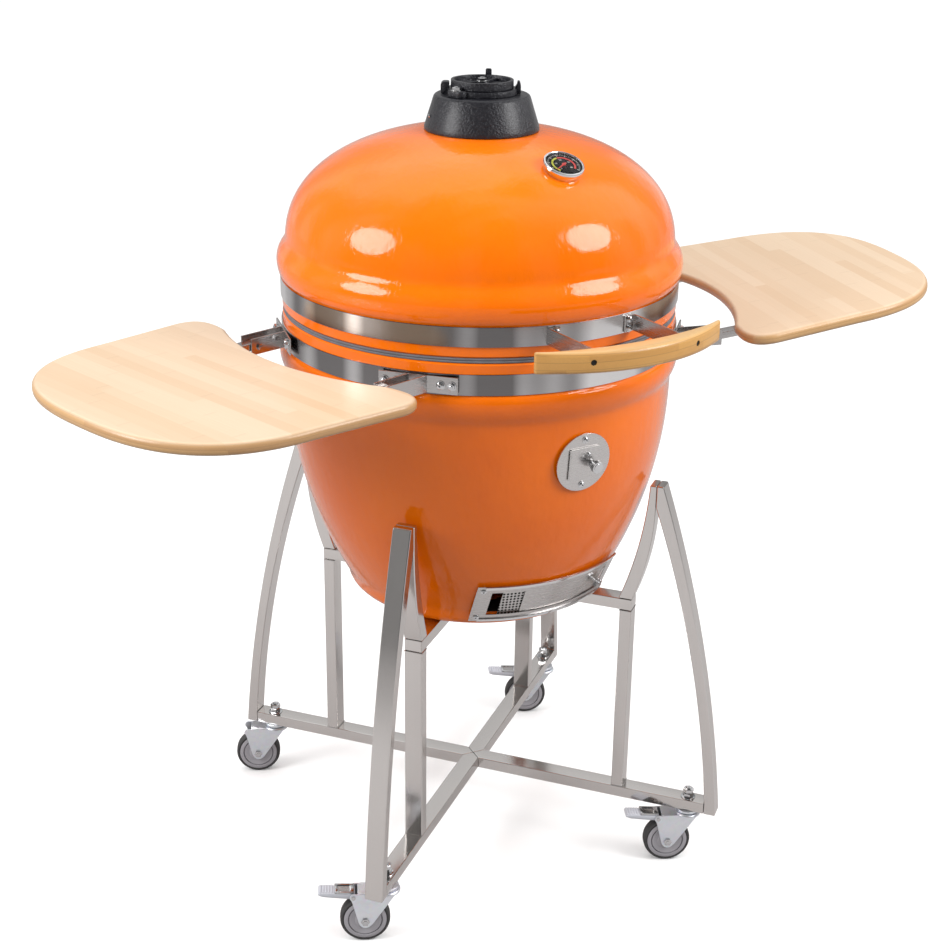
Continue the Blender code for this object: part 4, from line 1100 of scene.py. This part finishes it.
def build_clamp(name, body, azimuth, z):
    """Where a band's two ends are drawn together: two folded ears and a long screw."""
    at = on_band(azimuth, z, 0.0002)
    for side, word in SIDES:
        fold = side * 0.0085
        low, high = sorted((fold, side * 0.024))
        ear = merge(block((fold - 0.0011, -0.0115, 0.0), (fold + 0.0011, 0.0115, 0.0140), 0.0005),
                    block((low, -0.0115, 0.0), (high, 0.0115, 0.0016), 0.0005))
        piece(f"{name}_ear_{word}", ear, "bracket", body, at)
    screw = through_bolt(0.0021, 0.0150, 0.0096, dome_head(0.0042, 0.0034), hexagon(0.0042, 0.0034), 18)
    piece(f"{name}_screw", screw, "bolt", body, at @ move(0, 0, 0.0085) @ turn("Y", 90))


# ---------------------------------------------------------------- studio
def build_world():
    """A white room: bright above for the floor, with grey walls, unevenly lit, for the metal to mirror."""
    world = bpy.data.worlds.new("studio")
    bpy.context.scene.world = world
    world.use_nodes = True
    tree = world.node_tree

    def value(kind, settings=None, output=0, **inputs):
        return add_node(tree, kind, settings, **inputs).outputs[output]

    way = value("TexCoord")
    sky = value("MapRange", Value=value("SeparateXYZ", output=2, Vector=way), i3=0.38, i4=1.48)
    facing = value("VectorMath", {"operation": "DOT_PRODUCT"}, "Value", i0=way, i1=(0.50, 0.83, 0.25))
    wall = value("MapRange", Value=facing, i1=-0.20, i2=0.35, i3=0.26, i4=1.0)
    flags = value("TexNoise", Vector=value("Mapping", Vector=way, Scale=(1, 1, 0.22)), Scale=2.1,
                  Detail=1.0)
    flags = value("MapRange", Value=flags, i1=0.40, i2=0.58, i3=0.30, i4=1.15)
    mirrored = value("Math", {"operation": "MULTIPLY"}, i0=wall, i1=flags)
    rays = add_node(tree, "LightPath").outputs
    seen = value("Mix", i0=rays["Is Glossy Ray"], i2=sky, i3=mirrored)
    seen = value("Mix", i0=rays["Is Camera Ray"], i2=seen, i3=1.0)
    back = tree.nodes["Background"]
    back.inputs["Color"].default_value = (1.0, 1.0, 1.0, 1.0)
    tree.links.new(seen, back.inputs["Strength"])


def build_studio():
    floor = bpy.data.meshes.new("floor")
    shape = bmesh.new()
    bmesh.ops.create_grid(shape, x_segments=4, y_segments=4, size=14.0)
    shape.to_mesh(floor)
    shape.free()
    look = Look("studio_floor", (0.93, 0.93, 0.93), 0.85)
    rays = look.add("LightPath").outputs
    tone = look.mix(rays["Is Glossy Ray"], (0.20, 0.19, 0.19), (0.46, 0.45, 0.45))
    look.set("Base Color", look.mix(rays["Is Camera Ray"], tone, (0.98, 0.98, 0.98)))
    floor.materials.append(look.material)
    ground = linked("floor", floor)
    build_world()
    target = Vector((AX, AY, 0.95))
    for name, azimuth, height, distance, size, power in (
            ("softbox_left", -97, 24, 3.4, 1.65, 70), ("softbox_right", 39, 30, 3.2, 1.55, 60)):
        light = bpy.data.lights.new(name, "AREA")
        light.shape, light.size, light.energy = "DISK", size, power
        lamp = linked(name, light)
        az, el = radians(azimuth), radians(height)
        way = Vector((sin(az) * cos(el), -cos(az) * cos(el), sin(el)))
        lamp.location = target + way * distance
        lamp.rotation_euler = way.to_track_quat("Z", "Y").to_euler()
    scene = bpy.context.scene
    scene.view_settings.view_transform = "Standard"
    scene.view_settings.look = "None"


def build_camera():
    data = bpy.data.cameras.new("camera")
    data.sensor_width, data.lens = 36.0, 64.2
    data.shift_x, data.shift_y = -0.0136, 0.0070
    data.clip_start, data.clip_end = 0.05, 60
    camera = linked("camera", data)
    yaw, pitch, roll = radians(-31.13), radians(21.93), radians(0.88)
    forward = Vector((-sin(yaw) * cos(pitch), cos(yaw) * cos(pitch), -sin(pitch)))
    right = Vector((cos(yaw), sin(yaw), 0))
    up = right.cross(forward)
    side = right * cos(roll) + up * sin(roll)
    top = up * cos(roll) - right * sin(roll)
    camera.matrix_world = (Matrix.Translation((AX - 1.3352, AY - 2.2377, 1.6937)) @
                           Matrix((side, top, -forward)).transposed().to_4x4())
    bpy.context.scene.camera = camera


def dress_cad_nodes():
    """Give every CAD node its procedural finish, also those a finer piece stands for."""
    looks = (
        ("tube_z", ("outer_leg", "cradle_arm", "post")), ("tube", ("base_cross", "support_cross")),
        ("zinc", ("castor_fork",)), ("tyre", ("castor_wheel",)), ("pedal", ("brake_pedal",)),
        ("glaze", ("ceramic",)), ("band", ("lower_band", "upper_band")),
        ("felt", ("base_gasket", "dome_gasket")), ("perforated", ("draft_screen",)),
        ("plate", ("draft_frame", "draft_door", "port")),
        ("handle_wood", ("shelf_board",)), ("bracket", ("shelf", "handle_bracket", "hinge")),
        ("handle_wood", ("handle",)), ("iron", ("vent",)), ("chrome", ("thermometer_case",)),
        ("mark_red", ("thermometer_needle",)), ("clay", ("fire",)),
        ("grate", ("charcoal_grate", "cooking_grate")))
    for name, node in NODES.items():
        look = next(value for value, starts in looks if name.startswith(starts))
        node.data.materials.clear()
        node.data.materials.append(MATERIALS[look])
        for face in node.data.polygons:
            face.material_index = 0


MATERIALS["handle_wood"] = bamboo("handle_bamboo", 0.016, 0.0105, (0.66, 0.44, 0.20), (0.56, 0.34, 0.14),
                                  ((0.80, 0.42, 0.10), (0.60, 0.28, 0.06)),
                                  (1, 0, 0), (0, 1, 0), (0, 0, 1), 0.30)
build_camera()
build_studio()
dress_cad_nodes()
build_stand()
build_ceramic()
build_bands()
build_handle()
build_thermometer()
build_port()
build_draft()
for shelf in SHELF_TURNS:
    build_shelf(shelf)
build_vent()
build_hinge()
build_clamp("upper_clamp", "lid", -134, UPPER_Z)
build_clamp("lower_clamp", "stand", 168, LOWER_Z)
